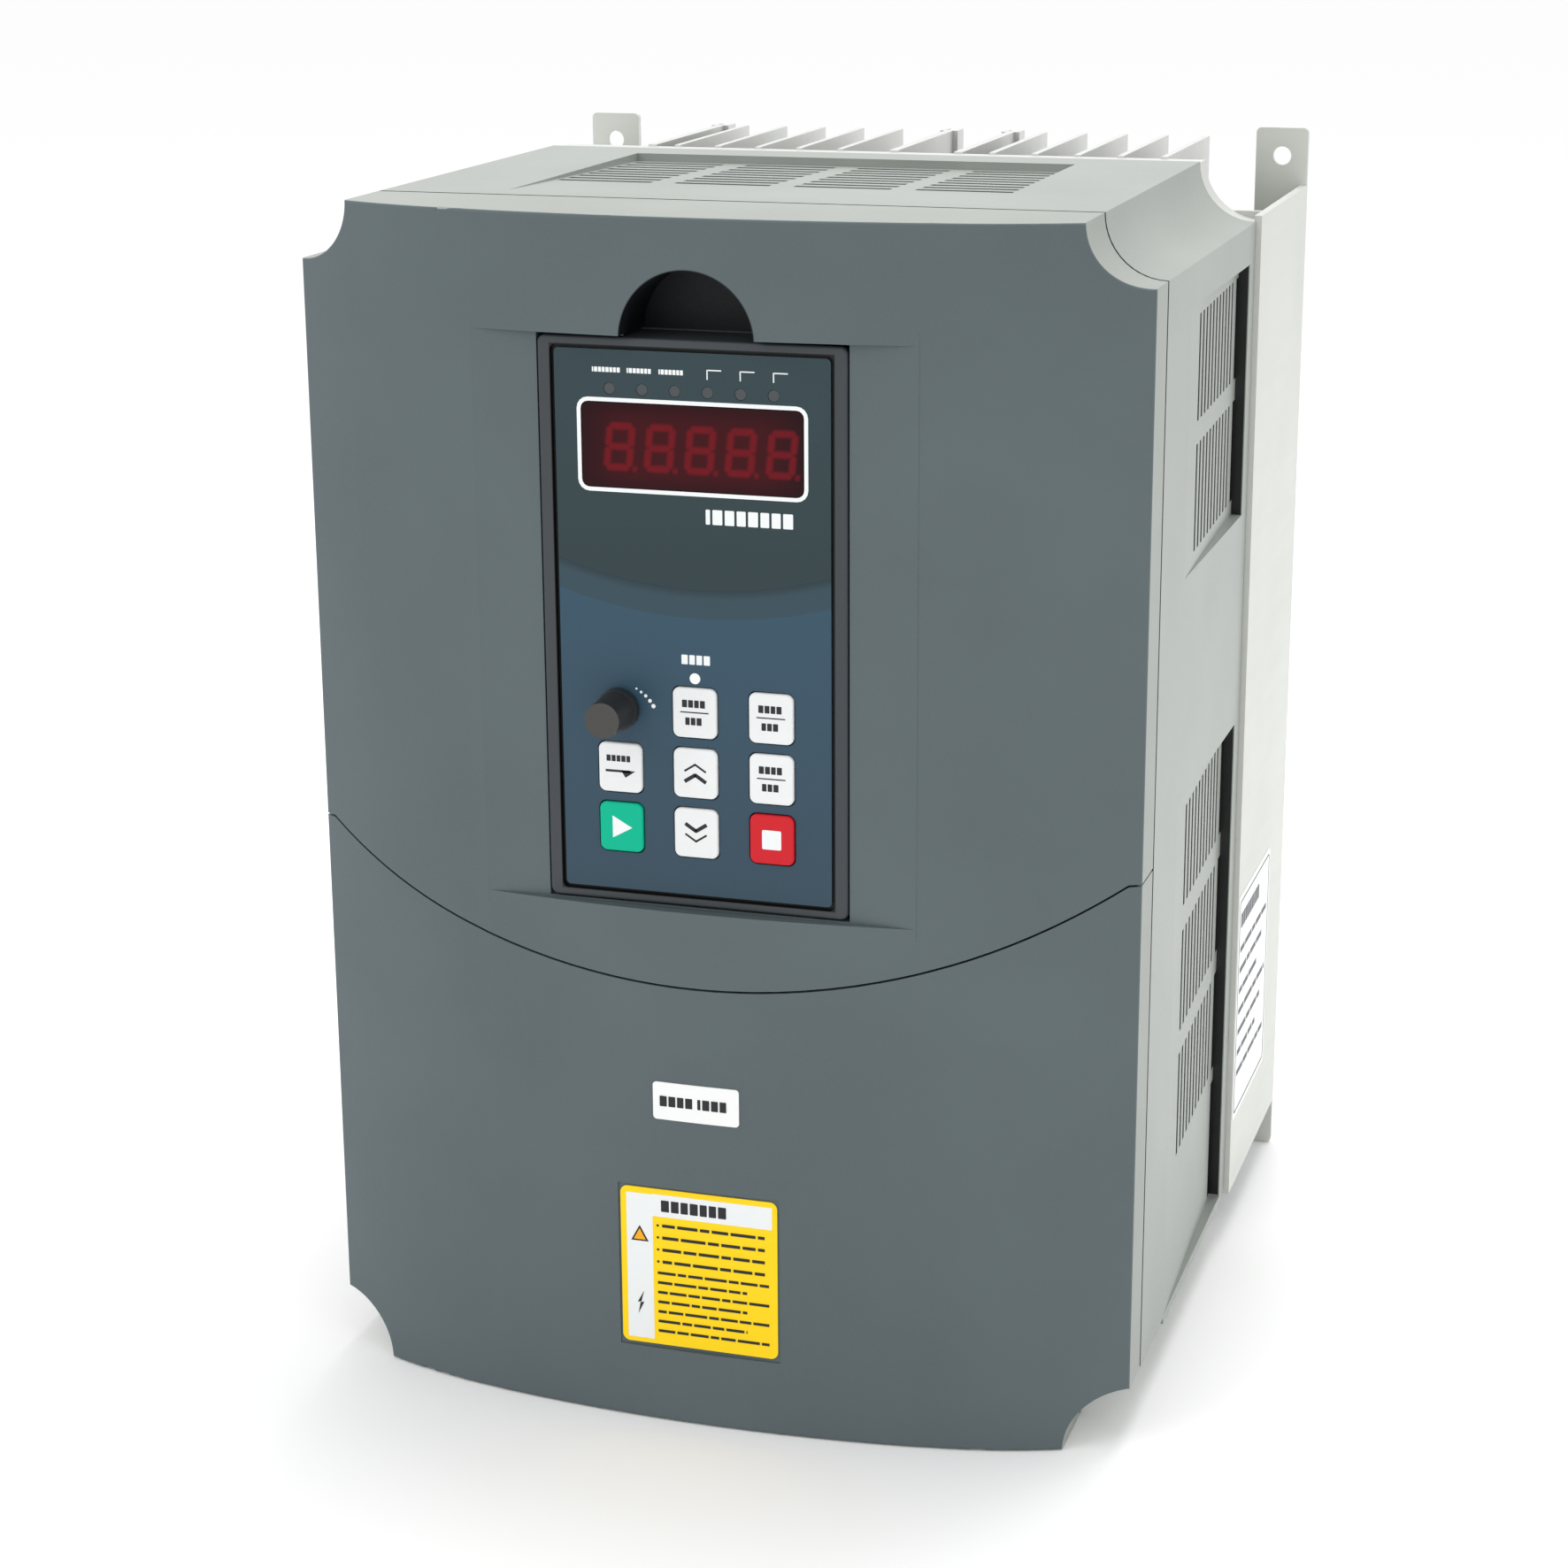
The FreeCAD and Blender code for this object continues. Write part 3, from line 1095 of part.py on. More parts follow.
def build_knob():
    """Speed knob pressed on the spindle of a potentiometer on the board."""
    foot = f"({OVERLAY_FACE} + knob_lift)"
    tip = f"({foot} + knob_length)"
    skirt = rod("knob_skirt", "front", KNOB_CENTRE, "knob_radius", (foot, f"{foot} + 2.4"))
    grip = rod("knob_grip", "front", KNOB_CENTRE, "knob_radius - 0.4", (f"{foot} + 2.4", tip),
               tip="knob_tip")
    grooves = []
    for number in range(18):
        angle = math.radians(number * 20)
        across = f"{KNOB_CENTRE[0]} + (knob_radius + 0.15)*{math.cos(angle):.5f}"
        level = f"{KNOB_CENTRE[1]} + (knob_radius + 0.15)*{math.sin(angle):.5f}"
        grooves.append(rod(f"knob_groove_{number}", "front", (across, level), "0.55",
                           (f"{foot} + 2.6", f"{tip} + 1")))
    bore = rod("knob_bore", "front", KNOB_CENTRE, "spindle_radius", (f"{foot} - 1", f"{tip} - 3"))
    blank = fuse("knob_blank", [skirt, grip])
    node("speed_knob", cut("speed_knob_solid", blank, [bore] + grooves, separate=True))
    node("knob_spindle", rod("knob_spindle_rod", "front", KNOB_CENTRE, "spindle_radius",
                             (f"{BOARD_FRONT} + 1", f"{tip} - 3")))
    can = box("pot_can", around(KNOB_CENTRE[0], "11"), (BOARD_FRONT, f"{BOARD_FRONT} + 5"),
              around(KNOB_CENTRE[1], "11"))
    collar = rod("pot_collar", "front", KNOB_CENTRE, "spindle_radius + 0.9",
                 (f"{BOARD_FRONT} + 4", f"{OVERLAY_BACK} - 1.4"))
    hole = rod("pot_hole", "front", KNOB_CENTRE, "spindle_radius + spindle_fit",
               (f"{BOARD_FRONT} + 0.9", f"{OVERLAY_BACK} + 1"))
    node("potentiometer", cut("pot_solid", fuse("pot_blank", [can, collar]), [hole]))


# ---------------------------------------------------------------------------------------------
# Circuit inside the housing
# ---------------------------------------------------------------------------------------------
CANS = [(f"{column}*can_spacing", f"can_low + {row}*can_rise")
        for row in (0, 1) for column in (-1, 0, 1)]
POWER_PILLARS = [(f"{side}*(width/2 - pillar_side)", level)
                 for side in (-1, 1) for level in ("106", "185", "height - 36")]
CONTROL_PILLARS = [(f"{side}*72", level) for side in (-1, 1) for level in ("118", "224")]
POLE_COUNT = 9
BAR_POLES = (2, 4, 6)
MODULE_FRONT = "(sink_depth + module_thick)"


def pole(number):
    return f"(({number} - {POLE_COUNT // 2})*terminal_pitch)"


def build_power_parts():
    block = box("module_block", ("-module_half", "module_half"), ("sink_depth", MODULE_FRONT),
                ("module_low", "module_low + module_tall"))
    notches = [box(f"module_notch_{number}", around(f"({number} - 1)*38", "26"),
                   (f"{MODULE_FRONT} - 5", f"{MODULE_FRONT} + 1"),
                   ("module_low + module_tall - 12", "module_low + module_tall + 1"))
               for number in range(3)]
    node("power_module", cut("module_solid", block, notches, separate=True))

    node("rectifier_module", box("rectifier_block", ("-46", "46"), ("sink_depth", "sink_depth + 24"),
                                 ("82", "110")))
    node("charging_relay", box("relay_block", ("68", "92"), ("sink_depth", "sink_depth + 28"),
                               ("120", "150")))

    base = box("terminal_base", ("-terminal_half", "terminal_half"), ("sink_depth", "terminal_front"),
               ("terminal_low", "terminal_low + terminal_tall"))
    barriers = [box(f"terminal_barrier_{number}", around(f"{pole(number)} - terminal_pitch/2", "2"),
                    ("terminal_front - 1", "terminal_front + 9"),
                    ("terminal_low", "terminal_low + terminal_tall"))
                for number in range(POLE_COUNT + 1)]
    holes = [rod(f"terminal_hole_{number}", "front", (pole(number), "terminal_low + 9"),
                 "screw_radius + screw_clear", ("terminal_front - 12", "terminal_front + 1"))
             for number in range(POLE_COUNT)]
    node("power_terminals", cut("terminal_solid", fuse("terminal_blank", [base] + barriers), holes,
                                separate=True))
    screws = []
    for number in range(POLE_COUNT):
        face = "terminal_front + busbar_thick" if number in BAR_POLES else "terminal_front"
        screws.append(screw(f"terminal_screw_{number}", "front", (pole(number), "terminal_low + 9"),
                            f"({face})", ("4.2", "3.2"), "11"))
    node("terminal_screws", several("terminal_screws_group", screws))

    bars = []
    for number in BAR_POLES:
        across = around(pole(number), "busbar_wide")
        run = box(f"bar_run_{number}", across, ("terminal_front", "terminal_front + busbar_thick"),
                  ("terminal_low + 2", "module_low + 20"))
        leg = box(f"bar_leg_{number}", across, (MODULE_FRONT, "terminal_front + 1"),
                  ("module_low + 20 - busbar_thick", "module_low + 20"))
        hole = rod(f"bar_hole_{number}", "front", (pole(number), "terminal_low + 9"),
                   "screw_radius + screw_clear", ("terminal_front - 1", "terminal_front + 4"))
        bars.append(cut(f"bar_{number}", fuse(f"bar_blank_{number}", [run, leg]), [hole]))
    node("busbars", several("busbars_group", bars))

    sensors = []
    for number in (2, 6):
        middle = pole(number)
        out = ("terminal_front - 7", "terminal_front + 9")
        block = box(f"sensor_block_{number}", around(middle, "24"), out,
                    ("terminal_low + terminal_tall + 2.5", "terminal_low + terminal_tall + 14"))
        slot = box(f"sensor_slot_{number}", around(middle, "busbar_wide + 0.6"),
                   around("(terminal_front + busbar_thick/2)", "busbar_thick + 0.6"),
                   ("terminal_low + terminal_tall", "terminal_low + terminal_tall + 16"))
        sensors.append(cut(f"sensor_{number}", block, [slot]))
    node("current_sensors", several("current_sensors_group", sensors))

    earths = [screw(f"earth_screw_{number}", "front", centre, "sink_depth", ("4.5", "3.4"), "7")
              for number, centre in enumerate(EARTH_PLACES)]
    node("earth_screws", several("earth_screws_group", earths))


def build_capacitors():
    """Six cans with the screws of their terminals under the power board, and their clamp plate."""
    cans = []
    foot = "sink_depth + 4"
    top = f"{POWER_BACK} - 4"
    for number, spot in enumerate(CANS):
        can = rod(f"can_{number}", "front", spot, "can_radius", (foot, top))
        across, level = spot
        posts = [rod(f"can_post_{number}_{side}", "front", (f"{across} + {side}*11", level), "4",
                     (f"{top} - 1", POWER_BACK)) for side in (-1, 1)]
        cans.append(fuse(f"can_whole_{number}", [can] + posts))
    node("capacitors", several("capacitors_group", cans))

    host = body("clamp")
    outline = [rectangle(("-can_spacing - can_radius - 1.5", "can_spacing + can_radius + 1.5"),
                         ("can_low - can_radius - 3", "can_low + can_rise + can_radius + 3"))]
    rings = [("circle", across, level, "can_radius + 0.15") for across, level in CANS]
    pad(host, "clamp_plate", "front", outline + rings, ("sink_depth + 38", "sink_depth + 40"))
    legs = [("circle", f"{side}*can_spacing/2", f"can_low + can_rise/2 + {end}*(can_rise/2 + 14)", "4")
            for side in (-1, 1) for end in (-1, 1)]
    pad(host, "clamp_legs", "front", legs, ("sink_depth", "sink_depth + 38"))
    node("capacitor_clamp", host)


def build_boards():
    host = body("power_board_body")
    outline = [rectangle(("-(width/2 - 13)", "width/2 - 13"), ("100", "height - 18"))]
    holes = [("circle", across, level, "screw_radius + screw_clear") for across, level in POWER_PILLARS]
    pad(host, "power_board_pad", "front", outline + holes, (POWER_BACK, POWER_FRONT))
    node("power_board", host)
    pillars = [rod(f"power_pillar_{number}", "front", spot, "3.5", ("sink_depth", POWER_BACK))
               for number, spot in enumerate(POWER_PILLARS)]
    bores = [rod(f"power_pillar_bore_{number}", "front", spot, "screw_radius + screw_clear",
                 (f"{POWER_BACK} - 8", f"{POWER_BACK} + 1"))
             for number, spot in enumerate(POWER_PILLARS)]
    bored = [cut(f"power_pillar_whole_{number}", pillar, [bore])
             for number, (pillar, bore) in enumerate(zip(pillars, bores))]
    node("power_pillars", several("power_pillars_group", bored))

    host = body("control_board_body")
    outline = [rectangle(("-80", "80"), ("110", "232"))]
    holes = [("circle", across, level, "screw_radius + screw_clear")
             for across, level in CONTROL_PILLARS]
    pad(host, "control_board_pad", "front", outline + holes, (CONTROL_BACK, CONTROL_FRONT))
    node("control_board", host)
    posts = []
    for number, spot in enumerate(CONTROL_PILLARS):
        post = rod(f"control_pillar_{number}", "front", spot, "3.2", (POWER_FRONT, CONTROL_BACK))
        bore = rod(f"control_bore_{number}", "front", spot, "screw_radius + screw_clear",
                   (f"{CONTROL_BACK} - 7", f"{CONTROL_BACK} + 1"))
        posts.append(cut(f"control_post_{number}", post, [bore]))
    node("control_pillars", several("control_pillars_group", posts))

    screws = [screw(f"power_board_screw_{number}", "front", spot, POWER_FRONT, ("3.4", "2.2"), "7")
              for number, spot in enumerate(POWER_PILLARS)]
    screws += [screw(f"control_board_screw_{number}", "front", spot, CONTROL_FRONT, ("3.4", "2.2"), "7")
               for number, spot in enumerate(CONTROL_PILLARS)]
    node("board_screws", several("board_screws_group", screws))

    strip = box("control_strip", ("-62", "62"), (CONTROL_FRONT, f"{CONTROL_FRONT} + 9"), ("112", "122"))
    mouths = [box(f"control_mouth_{number}", around(f"({number} - 11.5)*5.08", "3.6"),
                  (f"{CONTROL_FRONT} + 1.5", f"{CONTROL_FRONT} + 5.5"), ("111", "118"))
              for number in range(24)]
    heads = [rod(f"control_clamp_{number}", "front", (f"({number} - 11.5)*5.08", "117"), "1.6",
                 (f"{CONTROL_FRONT} + 7", f"{CONTROL_FRONT} + 10")) for number in range(24)]
    node("control_terminals", cut("control_strip_solid", strip, mouths + heads, separate=True))

    socket = box("socket_block", ("-10", "10"), (CONTROL_FRONT, f"{WELL_FLOOR} - 15.6"), ("207", "221"))
    node("keypad_socket", socket)


build_heatsink()
build_side_plates()
build_fan_tray()
build_fan("left", "-1")
build_fan("right", "1")
build_fan_guards()
build_housing()
build_covers()
build_keypad()
build_power_parts()
build_capacitors()
build_boards()

# ---------------------------------------------------------------------------------------------
# Checks and files
# ---------------------------------------------------------------------------------------------
doc.recompute()
troubles = []
for thing in doc.Objects:
    if "Invalid" in thing.State or "Error" in thing.State:
        troubles.append(f"{thing.Name} is {thing.State}")
    if thing.isDerivedFrom("PartDesign::Pocket"):
        if thing.Shape.Volume > thing.BaseFeature.Shape.Volume - 0.01:
            troubles.append(f"{thing.Name} takes nothing away")
for label, thing in NODES.items():
    if thing.Shape.isNull() or not thing.Shape.isValid() or not thing.Shape.Solids:
        troubles.append(f"{label} has no valid solid")
if troubles:
    raise RuntimeError("; ".join(troubles))

os.makedirs("parts", exist_ok=True)
for label, thing in NODES.items():
    thing.Shape.exportStep(f"parts/{label}.step")
    print(f"{label}: {len(thing.Shape.Solids)} solid(s), {thing.Shape.Volume / 1000:.1f} cm3")
print(len(NODES), "sub-parts")
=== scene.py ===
# %% [markdown]
# # Variable frequency drive
# This notebook dresses a wall-mounting motor drive. The shapes of its parts come ready from the
# design model; what is added here is what a moulder, a printer and a plater would add: textured
# plastic, bare metal, printed film, labels, lamps and the icons on the keys. Painted light and shade
# are added as well: a silver edge on the covers, and painted shade in the seams, the vents, the
# finger scoop and under an arc of the overlay. Everything is in metres. X runs to the right, Y back
# to the wall and Z up.

# %% Load the frame
import math

import bmesh
import bpy
from mathutils import Matrix, Vector


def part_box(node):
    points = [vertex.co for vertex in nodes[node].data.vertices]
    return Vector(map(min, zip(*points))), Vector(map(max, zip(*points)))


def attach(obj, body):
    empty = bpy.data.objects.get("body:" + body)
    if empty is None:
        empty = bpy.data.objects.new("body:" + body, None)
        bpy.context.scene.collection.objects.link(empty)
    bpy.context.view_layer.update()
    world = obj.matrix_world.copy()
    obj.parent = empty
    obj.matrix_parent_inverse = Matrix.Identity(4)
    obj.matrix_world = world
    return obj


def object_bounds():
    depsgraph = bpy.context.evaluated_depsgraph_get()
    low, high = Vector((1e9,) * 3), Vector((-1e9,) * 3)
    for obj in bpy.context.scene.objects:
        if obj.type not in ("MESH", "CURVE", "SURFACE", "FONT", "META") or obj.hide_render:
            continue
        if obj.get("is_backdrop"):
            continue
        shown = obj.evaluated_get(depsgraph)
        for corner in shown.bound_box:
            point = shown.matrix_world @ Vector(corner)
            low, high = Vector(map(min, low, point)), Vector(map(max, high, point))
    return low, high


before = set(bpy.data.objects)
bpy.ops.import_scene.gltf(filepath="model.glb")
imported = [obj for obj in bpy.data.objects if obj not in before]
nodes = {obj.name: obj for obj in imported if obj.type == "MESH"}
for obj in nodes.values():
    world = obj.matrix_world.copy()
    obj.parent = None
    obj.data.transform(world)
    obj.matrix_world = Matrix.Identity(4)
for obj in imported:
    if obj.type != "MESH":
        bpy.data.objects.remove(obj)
DESIGN_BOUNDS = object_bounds()
MM = 0.001
print("size", [round(value, 4) for value in DESIGN_BOUNDS[1] - DESIGN_BOUNDS[0]])

# %% [markdown]
# ## Camera, floor and light
# A plain box needs even light from wide sources, because small lamps leave hot spots on textured
# plastic. One broad source from the upper left shapes the bowed front, a weak one from the
# right lifts the silver side, and the strongest stands above and behind, so that the top is the
# brightest face. A white world fills the rest.

# %% Camera
camera = bpy.data.objects.new("camera", bpy.data.cameras.new("camera"))
bpy.context.scene.collection.objects.link(camera)
camera.data.lens = 76.4
camera.data.sensor_width = 36.0
TURN, FALL, ROLL = math.radians(17.54), math.radians(16.34), math.radians(-0.35)
CAMERA_PLACE = Vector((0.2614, -0.9883, 0.2497))
aim = Matrix.Rotation(TURN, 4, "Z") @ Matrix.Rotation(math.pi / 2 - FALL, 4, "X")
camera.matrix_world = Matrix.Translation(CAMERA_PLACE) @ aim @ Matrix.Rotation(ROLL, 4, "Z")
bpy.context.scene.camera = camera
print("camera at", [round(value, 3) for value in camera.location])

# %% World and lamps
bpy.context.scene.view_settings.view_transform = "Standard"
world = bpy.data.worlds.new("studio")
world.use_nodes = True
world.node_tree.nodes["Background"].inputs["Color"].default_value = (1.0, 1.0, 1.0, 1.0)
world.node_tree.nodes["Background"].inputs["Strength"].default_value = 1.0
bpy.context.scene.world = world
OBJECT_MIDDLE = Vector((0, -0.1, 0))


def area_lamp(name, spot, size, power):
    """A square lamp of soft light that looks at the middle of the object."""
    data = bpy.data.lights.new(name, "AREA")
    data.size, data.energy = size, power
    lamp = bpy.data.objects.new(name, data)
    bpy.context.scene.collection.objects.link(lamp)
    aim = (spot - OBJECT_MIDDLE).to_track_quat("Z", "Y").to_matrix().to_4x4()
    lamp.matrix_world = Matrix.Translation(spot) @ aim


area_lamp("key_light", Vector((-0.9, -1.3, 1.1)), 0.9, 4)
area_lamp("side_light", Vector((1.5, -0.3, 0.7)), 0.9, 1)
area_lamp("top_light", Vector((0.1, 0.3, 1.5)), 0.8, 13)
print("lamps", len(bpy.data.lights))

# %% [markdown]
# ### The floor
# The floor belongs to the picture and not to the object, so it is staged: it is rendered but never
# counted. It lies a hair below the lowest point, is fully matt and as pale as the world, so that the
# object stands in white.

# %% Floor
FLOOR_REACH = 8
BELOW_OBJECT = 0.0002
floor_mesh = bpy.data.meshes.new("floor")
sheet = bmesh.new()
bmesh.ops.create_grid(sheet, x_segments=1, y_segments=1, size=FLOOR_REACH)
bmesh.ops.translate(sheet, verts=sheet.verts, vec=(0, 0, DESIGN_BOUNDS[0].z - BELOW_OBJECT))
sheet.to_mesh(floor_mesh)
sheet.free()
floor = bpy.data.objects.new("floor", floor_mesh)
bpy.context.scene.collection.objects.link(floor)
white_floor = bpy.data.materials.new("white_floor")
white_floor.use_nodes = True
paper = white_floor.node_tree.nodes["Principled BSDF"]
paper.inputs["Base Color"].default_value = (0.98, 0.98, 0.98, 1.0)
paper.inputs["Roughness"].default_value = 1.0
paper.inputs["Specular IOR Level"].default_value = 0.0
floor_mesh.materials.append(white_floor)
floor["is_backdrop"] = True
print("floor at", round(DESIGN_BOUNDS[0].z, 4))

# %% [markdown]
# ## Writing shader maths as expressions
# A procedural finish is arithmetic on the place of each point. Wiring Math nodes by hand hides that
# arithmetic, so a small class wraps a socket: adding or multiplying two wrapped values adds
# the node that does it. A finish then reads like a formula.

# %% A socket with operators
class Field:
    """A number that changes over the surface. Its operators add Math nodes."""

    def __init__(self, finish, socket):
        self.finish, self.socket = finish, socket

    def math(self, operation, *others):
        values = [self] + list(others)
        return self.finish.node("ShaderNodeMath", {"operation": operation}, dict(enumerate(values)))

    def __add__(self, other):
        return self.math("ADD", other)

    def __sub__(self, other):
        return self.math("SUBTRACT", other)

    def __rsub__(self, other):
        return (self * -1) + other

    def __mul__(self, other):
        return self.math("MULTIPLY", other)

    def __truediv__(self, other):
        return self.math("DIVIDE", other)

    __radd__, __rmul__ = __add__, __mul__

    def above(self, level, soft):
        """0 below a level and 1 above it, with a soft step."""
        step = {0: self, 1: level - soft, 2: level + soft, 3: 0.0, 4: 1.0}
        settings = {"interpolation_type": "SMOOTHSTEP"}
        return self.finish.node("ShaderNodeMapRange", settings, step)

    def below(self, level, soft):
        return 1 - self.above(level, soft)


def distance(first, second):
    """The length of a flat vector from its two parts."""
    return (first * first + second * second).math("SQRT")


print("sockets can be added, multiplied and compared")

# %% [markdown]
# ### A finish as one object
# Every finish is a Principled shader with a few sockets fed by such formulas. The class below
# keeps the node tree out of sight: a finish asks for the axes of a point, for noise or for a blend,
# and feeds the answer to a named socket.

# %% A finish and its nodes
class Finish:
    """A procedural material: a Principled shader and the nodes that feed it."""

    def __init__(self, name, colour, roughness, **constants):
        self.material = bpy.data.materials.new(name)
        self.material.use_nodes = True
        self.tree = self.material.node_tree
        self.shader = self.tree.nodes["Principled BSDF"]
        self.shader.inputs["Base Color"].default_value = (*colour, 1.0)
        self.shader.inputs["Roughness"].default_value = roughness
        for socket, value in constants.items():
            self.shader.inputs[socket.replace("_", " ")].default_value = value
        self.place = self.tree.nodes.new("ShaderNodeTexCoord").outputs["Object"]
        self.material.diffuse_color = (*colour, 1.0)

    def node(self, kind, settings=None, values=None, output=0):
        """Any node: its settings first, then the values or links of its sockets."""
        made = self.tree.nodes.new(kind)
        for key, value in (settings or {}).items():
            setattr(made, key, value)
        for key, value in (values or {}).items():
            self.give(made.inputs[key], value)
        return Field(self, made.outputs[output])

    def give(self, socket, value):
        value = value.socket if isinstance(value, Field) else value
        if isinstance(value, bpy.types.NodeSocket):
            self.tree.links.new(value, socket)
        else:
            socket.default_value = value

    def axes(self):
        """X, Y and Z of the point, each as a number."""
        spot = {0: self.place}
        return [self.node("ShaderNodeSeparateXYZ", None, spot, part) for part in range(3)]

    def noise(self, scale, detail=2.0, stretch=None):
        spot = self.place
        if stretch:
            spot = self.node("ShaderNodeMapping", None, {"Vector": spot, "Scale": stretch}).socket
        values = {"Vector": spot, "Scale": scale, "Detail": detail}
        return self.node("ShaderNodeTexNoise", None, values)

    def mix(self, share, first, second):
        """Colours blended by a share that runs from 0 to 1."""
        ends = {0: share, 6: first, 7: second}
        return self.node("ShaderNodeMix", {"data_type": "RGBA"}, ends, 2)

    def feed(self, name, value):
        self.give(self.shader.inputs[name], value)

    def bump(self, height, depth, strength=1.0):
        lift = {"Height": height, "Distance": depth, "Strength": strength}
        self.feed("Normal", self.node("ShaderNodeBump", None, lift))


def tone(red, green, blue):
    """A colour given as a screen shows it, from 0 to 255, as the light it stands for."""
    parts = [value / 255 for value in (red, green, blue)]
    return tuple(part / 12.92 if part <= 0.04045 else ((part + 0.055) / 1.055) ** 2.4
                 for part in parts)


def solid(red, green, blue):
    return (*tone(red, green, blue), 1.0)


print("shader tools ready")

# %% [markdown]
# ## Moulded plastic
# The covers and the housing are injection mouldings from spark-eroded tools, which leave a fine
# even grain that kills reflections. Two sizes of noise make it: a fine one drives the bump
# and a broad, faint one shifts the colour a little, as flow and handling do on real parts.

# %% Grain for any moulding
GRAIN_SCALE = 1500.0
PATCH_SCALE = 18.0
BLACK = (0.0, 0.0, 0.0, 1.0)


def moulded(finish, colour, grain=0.00004, patches=0.05, rough=0.5):
    """Fine grain in the bump and the gloss, broad faint patches in the colour."""
    fine = finish.noise(GRAIN_SCALE, 3.0)
    broad = finish.noise(PATCH_SCALE, 3.0)
    darker = finish.mix(patches, colour, BLACK)
    speckled = finish.mix(fine * 0.10, darker, BLACK)
    finish.feed("Base Color", finish.mix(broad.above(0.5, 0.25), speckled, colour))
    finish.feed("Roughness", fine * 0.14 + (rough - 0.07))
    finish.bump(fine, grain, 0.7)


print("grain", round(1 / GRAIN_SCALE / MM, 2), "mm")

# %% [markdown]
# ### Charcoal front with a painted light edge
# The front face of each cover is charcoal while its edge, which continues the line of the housing, is
# silver. The silver edge is painted light: it stands for the bright light on the sides and ends of a
# cover of one colour. The outline decides: a point is on the edge if it is within a millimetre of the
# sides, the ends or the hollow corners, and lies behind the bow of the front, which is an arc in the
# middle and one on each side.

# %% Places that the finishes share
SCALLOP = 15.8 * MM
low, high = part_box("housing")
HALF_WIDTH = (high.x - low.x) / 2
HALF_HEIGHT = (high.z - low.z) / 2
MIDDLE = (high.z + low.z) / 2
UNDERSIDE = low.z
FRONT_EDGE = 216.4 * MM
KEYPAD_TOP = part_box("keypad_case")[1].z
CHARCOAL = (87, 98, 101)
SILVER = (156, 161, 156)
STEP, NARROW_STEP = 0.1 * MM, 0.05 * MM


def outline(finish):
    """Sideways and upwards from the middle, and away from the nearest hollow corner."""
    across, _, up = finish.axes()
    side, rise = across.math("ABSOLUTE"), (up - MIDDLE).math("ABSOLUTE")
    return side, rise, distance(side - HALF_WIDTH, rise - HALF_HEIGHT)


print("half width", round(HALF_WIDTH, 4), "half height", round(HALF_HEIGHT, 4))

# %% Cover finish
EDGE_WIDTH = 1.3 * MM
ARC_HALF, MIDDLE_BOW, MIDDLE_FALL = 56.5 * MM, 21.4 * MM, 4.0 * MM
OUTER_START, OUTER_SPAN, OUTER_BOW, OUTER_BULGE = 60.5 * MM, 49.5 * MM, 16.65 * MM, 10.4 * MM
ROUNDING = 0.6 * MM
SCOOP_RADIUS = 17.3 * MM
COVER_END = -203.0 * MM
# painted shade colours for the finger scoop and for the seam behind the cover
SCOOP_PAINTED_SHADE, SEAM_PAINTED_SHADE = (10, 15, 20), (12, 12, 12)

cover = Finish("charcoal_plastic_painted_light_edge", tone(*CHARCOAL), 0.5, Specular_IOR_Level=0.3)
across, out, up = cover.axes()
side, rise, corner = outline(cover)
rim = side.above(HALF_WIDTH - EDGE_WIDTH, STEP)
rim = rim.math("MAXIMUM", rise.above(HALF_HEIGHT - EDGE_WIDTH, STEP))
rim = rim.math("MAXIMUM", corner.below(SCALLOP + EDGE_WIDTH, STEP))
middle_bow = MIDDLE_BOW - (side / ARC_HALF).math("POWER", 2.0) * MIDDLE_FALL
outwards = (side - OUTER_START) / OUTER_SPAN
outer_bow = (1 - outwards) * OUTER_BOW + outwards * (1 - outwards) * OUTER_BULGE
inner_part = side.below((ARC_HALF + OUTER_START) / 2, (OUTER_START - ARC_HALF) / 2)
bow = middle_bow * inner_part + outer_bow * (1 - inner_part)
# painted light: the silver edge stands for the light on the sides and ends of the cover
edge = rim * (out + FRONT_EDGE + bow).above(ROUNDING, 0.08 * MM)
# painted shade: the finger scoop above the keys is painted nearly black
painted_scoop_shade = distance(across, up - KEYPAD_TOP).below(SCOOP_RADIUS, 0.2 * MM)
painted_scoop_shade = painted_scoop_shade * up.above(KEYPAD_TOP + 0.2 * MM, 0.2 * MM)
front = cover.mix(painted_scoop_shade, solid(*CHARCOAL), solid(*SCOOP_PAINTED_SHADE))
front_and_painted_light_edge = cover.mix(edge, front, solid(*SILVER))
# painted shade: the back 0.4 mm of the cover and its inner lip, at the seam to the housing, are
# painted nearly black
moulded(cover, cover.mix(out.above(COVER_END, STEP), front_and_painted_light_edge, solid(*SEAM_PAINTED_SHADE)), 0.00006)
print("cover edge", EDGE_WIDTH / MM, "mm wide")

# %% [markdown]
# ### Vents that read as deep
# Through a real vent one sees an unlit inside, so the housing carries painted shade: it stays silver
# outside and is painted dark within its walls, on the walls of the slots and along its front lip,
# where the seam under the covers is. The vent panels slope inwards to the back, so the depth of a
# panel grows with the distance behind the front edge, and what lies a little below the panel is the
# wall of a slot.

# %% Housing finish
PAINTED_SHADE_INSIDE = (22, 23, 24)
SIDE_FLUSH, SIDE_SLOPE = 45 * MM, 3.0 / 84
TOP_FLUSH, TOP_SLOPE = 24 * MM, 2.2 / 97
VENTS_START, VENTS_END = 55 * MM, 129.0 * MM
BELOW_PANEL = 0.2 * MM
PAST_CORNER = 17 * MM
SIDE_WALL, END_WALL, CORNER_WALL, PANEL_DEPTH = 3.4 * MM, 2.5 * MM, 2.4 * MM, 5 * MM
HOUSING_BACK = -80.3 * MM
LIP_END = 14.8 * MM

